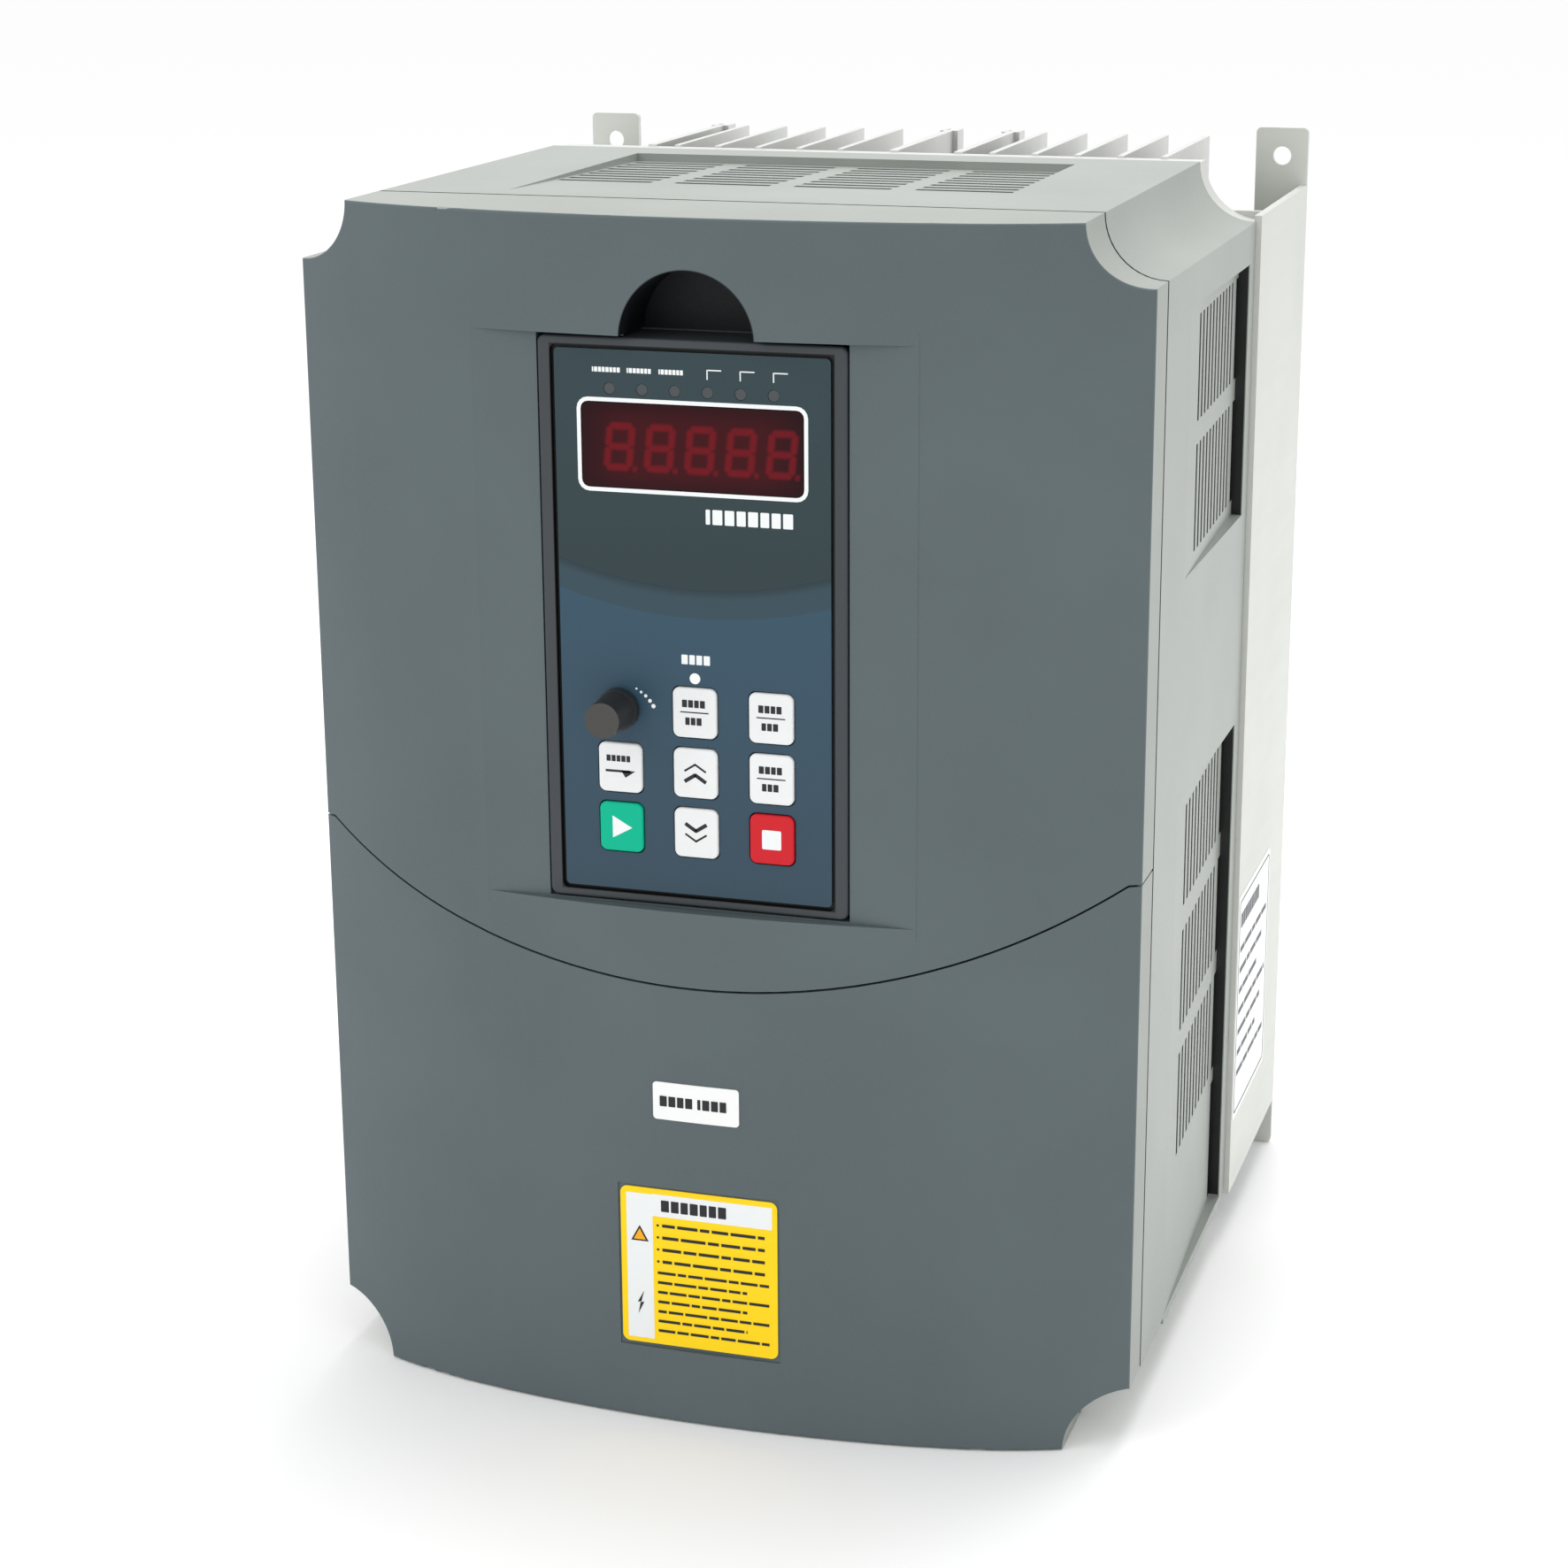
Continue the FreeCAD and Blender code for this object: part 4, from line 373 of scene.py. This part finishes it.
housing = Finish("silver_plastic", tone(*SILVER), 0.42, Metallic=0.25)
_, out, up = housing.axes()
side, rise, corner = outline(housing)
inside = side.below(HALF_WIDTH - SIDE_WALL, STEP) * rise.below(HALF_HEIGHT - END_WALL, STEP)
inside = inside * corner.above(SCALLOP + CORNER_WALL, STEP) * out.below(HOUSING_BACK, STEP)
behind, side_depth, top_depth = out + FRONT_EDGE, HALF_WIDTH - side, HALF_HEIGHT + MIDDLE - up
vented = behind.above(VENTS_START, STEP) * behind.below(VENTS_END + STEP, STEP)
side_sunk = side_depth - (behind - SIDE_FLUSH) * SIDE_SLOPE
end_wall = behind.above(VENTS_END - STEP, NARROW_STEP) * side_depth.above(0.3 * MM, STEP)
side_slots = side_sunk.above(BELOW_PANEL, STEP).math("MAXIMUM", end_wall)
side_slots = side_slots * rise.below(HALF_HEIGHT - PAST_CORNER, STEP)
top_sunk = top_depth - (behind - TOP_FLUSH) * TOP_SLOPE
top_slots = top_sunk.above(BELOW_PANEL, STEP) * top_sunk.below(PANEL_DEPTH, STEP)
top_slots = top_slots * side.below(HALF_WIDTH - PAST_CORNER, STEP)
# painted shade: the inside of the housing, the slot walls and the end walls of the vent panels are
# painted dark
dark = inside.math("MAXIMUM", side_slots * vented).math("MAXIMUM", top_slots * vented)
# painted shade along the front lip of the housing, in the seam under the covers
dark = dark.math("MAXIMUM", behind.below(LIP_END, STEP))
moulded(housing, housing.mix(dark, solid(*SILVER), solid(*PAINTED_SHADE_INSIDE)), rough=0.42)
print("vents from", VENTS_START / MM, "to", VENTS_END / MM, "mm behind the front edge")

# %% [markdown]
# ### Smaller mouldings
# Between the printed overlay and its case runs a narrow groove that light hardly reaches, so the
# case is nearly black close to the overlay. The other mouldings differ in colour and in grain:
# modules are coarser than terminals, and rubber is the dullest of all.

# %% Keypad case and the small mouldings
GROOVE = 1.1 * MM
sheet_low, sheet_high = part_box("keypad_overlay")
case = Finish("case_plastic", tone(56, 60, 64), 0.45, Specular_IOR_Level=0.35)
across, _, up = case.axes()
inner = across.math("ABSOLUTE").below(sheet_high.x + GROOVE, NARROW_STEP)
inner = inner * up.above(sheet_low.z - GROOVE, NARROW_STEP)
inner = inner * up.below(sheet_high.z + GROOVE, NARROW_STEP)
moulded(case, case.mix(inner, solid(58, 63, 67), solid(6, 7, 8)), 0.00003)

black = Finish("black_moulding", tone(34, 34, 35), 0.5)
moulded(black, solid(36, 36, 37), 0.00003)
dark_module = Finish("module_moulding", tone(42, 42, 44), 0.55)
moulded(dark_module, solid(44, 44, 46), 0.00005)
terminal = Finish("terminal_moulding", tone(30, 30, 32), 0.4)
moulded(terminal, solid(32, 32, 34), 0.00002)
strip = Finish("terminal_strip_green", tone(38, 120, 78), 0.4)
moulded(strip, solid(38, 120, 78), 0.00002)
rubber = Finish("grommet_rubber", tone(32, 32, 32), 0.75)
moulded(rubber, solid(34, 34, 34), 0.00006, rough=0.8)
print("plastics", len(bpy.data.materials))

# %% [markdown]
# ## Metals
# The heat sink and side plates are bare aluminium, so bright that they nearly vanish against white.
# Extruded fins show faint lines along their length and rolled sheet has a soft even haze, so
# the metal noise is stretched along one axis. Screws and brackets are zinc plated.

# %% Metal finishes
def metal(name, colour, rough, stretch, scale=260.0, metallic=1.0):
    """Metal with streaks along the direction in which the stretch is small."""
    finish = Finish(name, tone(*colour), rough, Metallic=metallic)
    streaks = finish.noise(scale, 3.0, stretch)
    haze = finish.noise(22.0, 2.0)
    duller = solid(*[part * 0.8 for part in colour])
    finish.feed("Base Color", finish.mix(haze * 0.25, solid(*colour), duller))
    finish.feed("Roughness", streaks * 0.16 + haze * 0.1 + (rough - 0.13))
    finish.bump(streaks, 0.00002, 0.5)
    return finish


extruded = metal("extruded_aluminium", (218, 219, 216), 0.42, (1.0, 1.0, 0.04), metallic=0.75)
rolled = metal("rolled_aluminium", (208, 210, 204), 0.45, (1.0, 0.08, 1.0), metallic=0.3)
zinc = metal("zinc_plate", (196, 199, 202), 0.32, (1.0, 1.0, 1.0), 500.0)
copper = metal("copper_bar", (226, 160, 122), 0.3, (1.0, 1.0, 0.05))
print("metals done")

# %% [markdown]
# ## Boards and cans
# A circuit board is green lacquer over copper: the tracks show as slightly lighter lines. A brick
# pattern gives short straight lines at right angles, broad noise leaves them out in some areas,
# and scattered cells make the tinned pads. The capacitors wear a glossy dark sleeve.

# %% Board and can finishes
board = Finish("board_laminate", tone(20, 84, 48), 0.32, Coat_Weight=0.4)
across, _, up = board.axes()
flat = board.node("ShaderNodeCombineXYZ", None, {0: across, 1: up, 2: 0.0})
settings = {"offset": 0.37, "offset_frequency": 3, "squash": 0.6, "squash_frequency": 5}
values = {"Vector": flat, "Scale": 300.0, "Mortar Size": 0.06, "Brick Width": 2.9,
          "Row Height": 0.42}
tracks = board.node("ShaderNodeTexBrick", settings, values, 1)
values = {"Vector": flat, "Scale": 180.0, "Randomness": 0.9}
cells = board.node("ShaderNodeTexVoronoi", None, values, 0)
pads = cells.below(0.16, 0.03)
routed = board.noise(38.0, 1.0).above(0.48, 0.02)
lacquer = board.mix(tracks * routed, solid(14, 62, 36), solid(32, 98, 60))
board.feed("Base Color", board.mix(pads, lacquer, solid(176, 180, 176)))
board.feed("Roughness", board.noise(90.0) * 0.15 + 0.26)
board.bump((tracks * routed).math("MAXIMUM", pads), 0.00005, 0.6)

sleeve = Finish("can_sleeve", tone(22, 26, 42), 0.22, Coat_Weight=0.3)
haze = sleeve.noise(60.0, 3.0)
sleeve.feed("Base Color", sleeve.mix(haze, solid(20, 24, 40), solid(30, 36, 56)))
sleeve.feed("Roughness", haze * 0.1 + 0.2)
print("boards done")

# %% [markdown]
# ## The printed overlay
# The keypad is covered by one printed film. Its dark top, a band and the blue-grey lower part meet
# along two arcs of the same centre, so a point's distance from that centre picks its colour.
# A faint painted shadow lies under the first arc, on the band. The film is satin, smoother than the
# mouldings around it.

# %% Overlay finish
film = Finish("overlay_film", tone(51, 79, 95), 0.36, Specular_IOR_Level=0.25)
across, _, up = film.axes()
CENTRE_ACROSS, CENTRE_UP = 2 * MM, UNDERSIDE + 337.1 * MM
FIRST_ARC, SECOND_ARC = 112 * MM, 119.6 * MM
reach = distance(across - CENTRE_ACROSS, up - CENTRE_UP)
under_first = reach.above(FIRST_ARC, 0.15 * MM)
under_second = reach.above(SECOND_ARC, 0.15 * MM)
# painted shadow: a soft dark band just under the first arc
painted_shadow_first = reach.above(FIRST_ARC, STEP) * reach.below(FIRST_ARC + 1.5 * MM, 1.5 * MM)
lower = film.mix(up.above(UNDERSIDE + 180 * MM, 45 * MM), solid(50, 71, 86), solid(50, 78, 96))
upper = film.mix(up.above(UNDERSIDE + 250 * MM, 30 * MM), solid(42, 58, 62), solid(46, 64, 70))
middle = film.mix(painted_shadow_first, solid(50, 72, 83), solid(38, 54, 61))
print_colour = film.mix(under_second, film.mix(under_first, upper, middle), lower)
fine = film.noise(2200.0, 2.0)
film.feed("Base Color", film.mix(fine * 0.12, print_colour, BLACK))
film.feed("Roughness", fine * 0.1 + 0.33)
film.bump(fine, 0.00001, 0.4)
print("overlay arcs about height", round(CENTRE_UP, 4))

# %% [markdown]
# ## The display
# Unlit seven-segment digits show faintly through a dark red filter. Each digit is a set of bars of
# equal thickness, and folding the cell at its middle makes one bar stand for several, so two
# distances draw all seven segments. A wide soft step blurs them, as the filter does.

# %% Window finish
DIGIT_PITCH = 10.4 * MM
DIGIT_HALF = 5.1 * MM
POST_ACROSS = 2.9 * MM
window_low, window_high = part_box("display_window")
window_up = (window_low.z + window_high.z) / 2
window = Finish("display_window", tone(50, 10, 17), 0.14, Specular_IOR_Level=0.1)
across, _, up = window.axes()
level = up - (window_up - 0.3 * MM)
lean = across - (level * 0.10) - 2.2 * MM
cell = (lean / DIGIT_PITCH + 0.5).math("FRACT")
local = (cell - 0.5) * DIGIT_PITCH
beside = local.math("ABSOLUTE")
beyond = level.math("ABSOLUTE")
bar_up = (beyond - DIGIT_HALF).math("ABSOLUTE").math("MINIMUM", beyond)
flat_bars = distance((beside - 2.1 * MM).math("MAXIMUM", 0.0), bar_up)
post_up = ((beyond - DIGIT_HALF / 2).math("ABSOLUTE") - 1.6 * MM).math("MAXIMUM", 0.0)
posts = distance(beside - POST_ACROSS, post_up)
point = distance(local - 4.5 * MM, level + 5.4 * MM)
stroke = flat_bars.math("MINIMUM", posts).below(0.85 * MM, 0.55 * MM)
stroke = stroke.math("MAXIMUM", point.below(0.75 * MM, 0.4 * MM) * 0.7)
stroke = stroke * lean.math("ABSOLUTE").below(2.5 * DIGIT_PITCH, 0.2 * MM)
# the window is lighter in its middle, over the digits
lighter_middle = across.math("ABSOLUTE").below(24 * MM, 8 * MM)
lighter_middle = lighter_middle * level.math("ABSOLUTE").below(9 * MM, 4 * MM)
dim = window.mix(lighter_middle, solid(34, 12, 17), solid(60, 14, 20))
window.feed("Base Color", window.mix(stroke * 0.7, dim, solid(116, 16, 27)))
window.feed("Roughness", lighter_middle * 0.03 + 0.12)
print("display", round(window_high.x - window_low.x, 4), "wide")

# %% [markdown]
# ## Lamps, keys, knob and labels
# The six upper lamps are dark lenses and the lower one is pale, so height alone tells them apart.
# Key caps are satin silicone with a trace of dust in the grain, and the knob has a lighter
# face. Labels are nearly even in colour with a faint mottle, since paper and ink never lie perfectly.

# %% Lamps, keys, knob and labels
lamps = Finish("lamp_lens", tone(96, 104, 108), 0.3)
_, _, up = lamps.axes()
trip = up.below(UNDERSIDE + 240 * MM, 1 * MM)
lamps.feed("Base Color", lamps.mix(trip, solid(58, 64, 67), solid(236, 238, 238)))
lamps.feed("Roughness", lamps.noise(400.0) * 0.2 + 0.2)


def silicone(name, colour):
    """A key cap: satin, with a trace of dust in its grain."""
    finish = Finish(name, tone(*colour), 0.42, Specular_IOR_Level=0.15)
    moulded(finish, solid(*colour), 0.000015, 0.03, 0.42)
    return finish


white_key = silicone("white_key", (228, 230, 230))
green_key = silicone("green_key", (0, 178, 140))
red_key = silicone("red_key", (200, 34, 44))
knob = Finish("knob_plastic", tone(40, 40, 40), 0.45)
_, out, _ = knob.axes()
knob_low, knob_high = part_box("speed_knob")
tip = out.below(knob_low.y + 0.3 * MM, 0.15 * MM)
moulded(knob, knob.mix(tip, solid(38, 38, 38), solid(58, 57, 55)), 0.00003)


def printed_film(name, colour, rough=0.3):
    """A paper or film label: nearly even colour, faintly mottled, with a light sheen."""
    finish = Finish(name, tone(*colour), rough, Specular_IOR_Level=0.25)
    mottle = finish.noise(140.0, 4.0)
    duller = solid(*[part * 0.7 for part in colour])
    finish.feed("Base Color", finish.mix(mottle * 0.06, solid(*colour), duller))
    finish.feed("Roughness", mottle * 0.1 + rough - 0.05)
    return finish


yellow_label = printed_film("yellow_label", (252, 212, 14))
white_label = printed_film("white_label", (238, 239, 238))
white_ink = printed_film("white_ink", (232, 235, 235), 0.4)
black_ink = printed_film("black_ink", (38, 40, 42), 0.4)
blue_ink = printed_film("dark_ink", (52, 56, 66), 0.4)
yellow_ink = printed_film("orange_ink", (250, 170, 20), 0.4)
print("finishes", len(bpy.data.materials))

# %% [markdown]
# ## Dressing the design nodes
# Each node of the design keeps its shape and gets its finish. A node whose finish is not listed
# here would stay grey, so the loop reports any that were missed.

# %% Hand out the finishes
WEAR = {
    cover: ["upper_cover", "lower_cover"],
    housing: ["housing"],
    case: ["keypad_case", "keypad_back"],
    film: ["keypad_overlay"],
    window: ["display_window"],
    lamps: ["indicator_lamps"],
    white_key: ["key_shift", "key_program", "key_up", "key_down", "key_set", "key_jog"],
    green_key: ["key_run"],
    red_key: ["key_stop"],
    knob: ["speed_knob"],
    yellow_label: ["caution_label"],
    white_label: ["rating_label", "nameplate_label"],
    extruded: ["heatsink"],
    rolled: ["side_plate_left", "side_plate_right"],
    zinc: ["side_plate_screws", "fan_tray", "fan_guards", "housing_screws", "knob_spindle",
           "terminal_screws", "earth_screws", "capacitor_clamp", "power_pillars",
           "control_pillars", "board_screws"],
    copper: ["busbars"],
    board: ["keypad_board", "power_board", "control_board"],
    sleeve: ["capacitors"],
    strip: ["control_terminals"],
    terminal: ["power_terminals"],
    rubber: ["cable_grommets"],
    black: ["fan_frame_left", "fan_frame_right", "fan_rotor_left", "fan_rotor_right",
            "keypad_plug", "keypad_socket", "key_switches"],
    dark_module: ["display_module", "potentiometer", "power_module", "rectifier_module",
                  "charging_relay", "current_sensors"],
}
dressed = set()
for finish, names in WEAR.items():
    for name in names:
        nodes[name].data.materials.clear()
        nodes[name].data.materials.append(finish.material)
        dressed.add(name)
print("left without a finish:", sorted(set(nodes) - dressed))

# %% [markdown]
# ## Printing
# Ink on a key or a label is a layer a few hundredths of a millimetre thick. It could be painted in
# the shader, but separate thin pieces keep crisp edges from any distance and move with their key.
# Each print is drawn flat from rectangles, circles and triangles, given its thickness,
# then stood up against its face.

# %% Flat shapes
INK = 0.06 * MM
SUNK = 0.01 * MM
FRONTWARD = Matrix.Rotation(math.pi / 2, 4, "X")
RIGHTWARD = Matrix.Rotation(math.pi / 2, 4, "Z") @ FRONTWARD


def bar(art, across, up, wide, tall, corner=0.0, turn=0.0):
    """A rectangle, with rounded corners if asked, about its middle."""
    verts = bmesh.ops.create_grid(art, x_segments=1, y_segments=1, size=0.5)["verts"]
    bmesh.ops.scale(art, verts=verts, vec=(wide, tall, 1))
    if corner:
        rounded = bmesh.ops.bevel(art, geom=verts, offset=corner, offset_type="OFFSET", segments=4,
                                  profile=0.5, affect="VERTICES", material=-1)
        verts = list({vert for face in rounded["faces"] for vert in face.verts}
                     | set(rounded["verts"]))
    if turn:
        bmesh.ops.rotate(art, verts=verts, cent=(0, 0, 0), matrix=Matrix.Rotation(turn, 3, "Z"))
    bmesh.ops.translate(art, verts=verts, vec=(across, up, 0))
    return verts


def dot(art, across, up, radius, points=20):
    """A round dot."""
    circle = bmesh.ops.create_circle(art, cap_ends=True, radius=radius, segments=points)
    bmesh.ops.translate(art, verts=circle["verts"], vec=(across, up, 0))


def shape(art, across, up, corners):
    """A flat face whose corners are given in millimetres from a point."""
    places = [(across + right * MM, up + above * MM, 0) for right, above in corners]
    art.faces.new([art.verts.new(place) for place in places])


def ring(art, across, up, wide, tall, corner, line):
    """A rounded outline: a rectangle whose inside is taken out."""
    verts = set(bar(art, across, up, wide, tall, corner))
    face = next(face for face in art.faces if set(face.verts) <= verts and len(face.verts) > 4)
    art.normal_update()
    bmesh.ops.inset_individual(art, faces=[face], thickness=line, use_even_offset=True)
    bmesh.ops.delete(art, geom=[face], context="FACES_ONLY")


def apply_print(name, art, finish, body, level, stand=FRONTWARD):
    """Give flat art its thickness, stand it against a face and let it ride on a body."""
    art.normal_update()
    bmesh.ops.solidify(art, geom=art.faces[:], thickness=INK)
    lowest = min(vert.co.z for vert in art.verts)
    bmesh.ops.translate(art, verts=art.verts, vec=(0, 0, level - lowest - SUNK))
    bmesh.ops.transform(art, matrix=stand, verts=art.verts)
    bmesh.ops.recalc_face_normals(art, faces=art.faces)
    mesh = bpy.data.meshes.new(name)
    art.to_mesh(mesh)
    art.free()
    mesh.materials.append(finish.material)
    piece = bpy.data.objects.new(name, mesh)
    bpy.context.scene.collection.objects.link(piece)
    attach(piece, body)


print("ink is", INK / MM, "mm thick")

# %% [markdown]
# ### Words without letters
# Where the real thing has words, this one has short blocks. Their widths vary like those of
# letters, from a small fixed list, so a row reads as printing from a distance and says nothing.
# Small sentences are only dashes, one for each word.

# %% Blocks and dashes
BLOCK_WIDTHS = [0.30, 0.68, 0.66, 0.62, 0.68, 0.60, 0.62, 0.68]
DASH_LENGTHS = [2.6, 4.1, 1.9, 3.3, 5.0, 2.2, 3.8]


def word(art, left, up, count, tall, start=0):
    """A word of so many blocks from its left end; returns its right end."""
    for number in range(count):
        wide = BLOCK_WIDTHS[(start + number) % len(BLOCK_WIDTHS)] * tall
        bar(art, left + wide / 2, up, wide, tall, 0.06 * tall)
        left += wide + 0.17 * tall
    return left


def sentence(art, left, up, length, tall, start=0):
    """Dashes with gaps between them, as long as the row allows."""
    at, count = left, start
    while at < left + length:
        dash = min(DASH_LENGTHS[count % len(DASH_LENGTHS)] * tall, left + length - at)
        bar(art, at + dash / 2, up, dash, tall * 0.62)
        at += dash + 0.5 * tall
        count += 1


print("blocks", len(BLOCK_WIDTHS), "dashes", len(DASH_LENGTHS))

# %% [markdown]
# ## Legends on the overlay
# A white outline frames the display. Above it stand the marks of the six lamps, below it a
# short legend, and a curve of growing dots beside the knob shows the way to more speed.

# %% Overlay print
SHEET_OUT = -sheet_low.y
art = bmesh.new()
ring(art, 0, window_up, window_high.x - window_low.x + 2.4 * MM,
     window_high.z - window_low.z + 2.4 * MM, 2.9 * MM, 1.0 * MM)
apply_print("display_outline", art, white_ink, "keypad", SHEET_OUT)

art = bmesh.new()
word(art, 3.4 * MM, UNDERSIDE + 243.2 * MM, 8, 3.7 * MM)
word(art, -3.4 * MM, UNDERSIDE + 207.0 * MM, 4, 2.4 * MM, 4)
for start, count in ((-25.4, 8), (-16.4, 7), (-8.2, 7)):
    word(art, start * MM, UNDERSIDE + 278.3 * MM, count, 1.2 * MM)
for middle in (4.2, 12.6, 21.0):
    bar(art, (middle + 1.9) * MM, UNDERSIDE + 279.2 * MM, 3.4 * MM, 0.3 * MM)
    bar(art, middle * MM, UNDERSIDE + 278.1 * MM, 0.3 * MM, 2.4 * MM)
SCALE_DOTS = [(4.5, 5.3, 0.28), (5.7, 4.5, 0.36), (6.9, 3.6, 0.44), (8.0, 2.4, 0.5),
              (8.9, 1.1, 0.56)]
knob_across, knob_up = (knob_low.x + knob_high.x) / 2, (knob_low.z + knob_high.z) / 2
for across, up, radius in SCALE_DOTS:
    dot(art, knob_across + across * MM, knob_up + up * MM, radius * MM, 14)
apply_print("overlay_legends", art, white_ink, "keypad", SHEET_OUT)
print("legends and", len(SCALE_DOTS), "scale dots")

# %% [markdown]
# ## Icons on the keys
# Run is a triangle and stop a square, as on any machine. Up and down are double chevrons, the
# cursor key has a half arrow, and the remaining keys show two rows of blocks with a line between.

# %% Key icons
def key_face(name):
    """The middle of a key's face and how far out it stands."""
    low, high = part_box(name)
    return (low.x + high.x) / 2, (low.z + high.z) / 2, -low.y


def chevron(art, across, up, direction, thick):
    """Two slanted bars that meet in a point."""
    lean = math.radians(33) * direction
    bar(art, across - 1.35 * MM, up, 3.5 * MM, thick, turn=lean)
    bar(art, across + 1.35 * MM, up, 3.5 * MM, thick, turn=-lean)


def two_rows(art, across, up):
    """Two words with a line between them."""
    word(art, across - 3.2 * MM, up + 2.4 * MM, 4, 1.9 * MM, 1)
    bar(art, across, up + 0.2 * MM, 7.4 * MM, 0.3 * MM)
    word(art, across - 2.4 * MM, up - 2.1 * MM, 3, 1.9 * MM, 5)


for name in ("key_program", "key_set", "key_jog"):
    across, up, out = key_face(name)
    art = bmesh.new()
    two_rows(art, across, up)
    apply_print(name + "_print", art, black_ink, name, out)

for name, direction, first, second in (("key_up", 1, 0.5, 0.95), ("key_down", -1, 0.95, 0.5)):
    across, up, out = key_face(name)
    art = bmesh.new()
    chevron(art, across, up + 1.5 * MM, direction, first * MM)
    chevron(art, across, up - 1.2 * MM, direction, second * MM)
    apply_print(name + "_print", art, black_ink, name, out)

across, up, out = key_face("key_shift")
art = bmesh.new()
word(art, across - 3.6 * MM, up + 2.4 * MM, 5, 1.6 * MM, 1)
bar(art, across - 0.6 * MM, up - 0.9 * MM, 6.6 * MM, 0.6 * MM)
shape(art, across, up, [(0.2, -0.7), (1.4, -2.5), (4.0, -0.7)])
apply_print("key_shift_print", art, black_ink, "key_shift", out)

across, up, out = key_face("key_run")
art = bmesh.new()
shape(art, across, up, [(-2.3, -2.9), (2.9, 0), (-2.3, 2.9)])
apply_print("key_run_print", art, white_ink, "key_run", out)

across, up, out = key_face("key_stop")
art = bmesh.new()
bar(art, across, up, 5.0 * MM, 5.0 * MM, 0.4 * MM)
apply_print("key_stop_print", art, white_ink, "key_stop", out)
print("icons on eight keys")

# %% [markdown]
# ## Labels
# The yellow label has a white head and a white side column with a triangle and a bolt, and rows of
# blocks for its sentences. The rating label has one bold row. The nameplate on the right side
# plate has a frame, a bold head and ruled lines.

# %% Caution label print
label_low, label_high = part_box("caution_label")
out = -label_low.y
left, right = label_low.x + 1.6 * MM, label_high.x - 1.4 * MM
floor_up, top_up = label_low.z, label_high.z
art = bmesh.new()
bar(art, (left + 7.2 * MM + right) / 2, top_up - 4.6 * MM, right - left - 7.2 * MM, 6.2 * MM)
bar(art, left + 3.6 * MM, (floor_up + top_up) / 2 - 0.2 * MM, 7.2 * MM, 41.0 * MM)
apply_print("caution_white", art, white_ink, "lower_cover", out)

art = bmesh.new()
word(art, left + 9.6 * MM, top_up - 4.6 * MM, 7, 3.2 * MM, 1)
for number in range(4):
    up = top_up - (10.2 + number * 3.4) * MM
    dot(art, left + 8.6 * MM, up, 0.35 * MM, 10)
    sentence(art, left + 9.8 * MM, up, 28.0 * MM, 1.35 * MM, number * 3)
for number in range(7):
    up = top_up - (23.6 + number * 2.75) * MM
    sentence(art, left + 8.4 * MM, up, (30.5 - 6 * (number % 2)) * MM, 1.2 * MM, number * 2 + 1)
bolt_across, bolt_up = left + 3.6 * MM, floor_up + 11.5 * MM
shape(art, bolt_across, bolt_up, [(0.9, 3.2), (-0.9, -0.1), (0.1, 0.1)])
shape(art, bolt_across, bolt_up, [(-0.1, -0.1), (0.9, 0.1), (-0.7, -3.2)])
triangle_up = top_up - 13.0 * MM
shape(art, bolt_across, triangle_up, [(-2.4, -2.1), (2.4, -2.1), (0, 2.3)])
apply_print("caution_black", art, black_ink, "lower_cover", out + INK)

art = bmesh.new()
shape(art, bolt_across, triangle_up, [(-1.65, -1.65), (1.65, -1.65), (0, 1.4)])
apply_print("caution_triangle", art, yellow_ink, "lower_cover", out + 2 * INK)
print("caution label printed")

# %% Rating label and nameplate print
label_low, label_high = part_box("rating_label")
art = bmesh.new()
end = word(art, label_low.x + 1.9 * MM, (label_low.z + label_high.z) / 2, 4, 2.8 * MM, 1)
word(art, end + 0.9 * MM, (label_low.z + label_high.z) / 2, 4, 2.8 * MM, 8)
apply_print("rating_print", art, black_ink, "lower_cover", -label_low.y)

label_low, label_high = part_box("nameplate_label")
middle_out, middle_up = (label_low.y + label_high.y) / 2, (label_low.z + label_high.z) / 2
wide, tall = label_high.y - label_low.y, label_high.z - label_low.z
art = bmesh.new()
ring(art, middle_out, middle_up, wide - 3 * MM, tall - 3 * MM, 1.5 * MM, 0.5 * MM)
left = label_low.y + 4 * MM
word(art, left, label_high.z - 8 * MM, 9, 4.4 * MM, 2)
for number in range(7):
    up = label_high.z - (17.0 + number * 6.4) * MM
    sentence(art, left, up, (44 - 7 * (number % 3)) * MM, 2.6 * MM, number)
apply_print("nameplate_print", art, blue_ink, "chassis", label_high.x, RIGHTWARD)
print("labels printed")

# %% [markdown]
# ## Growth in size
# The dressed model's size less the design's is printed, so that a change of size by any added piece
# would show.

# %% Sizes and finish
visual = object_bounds()
grown = (visual[1] - visual[0]) - (DESIGN_BOUNDS[1] - DESIGN_BOUNDS[0])
print("grown by", [round(value, 5) for value in grown])
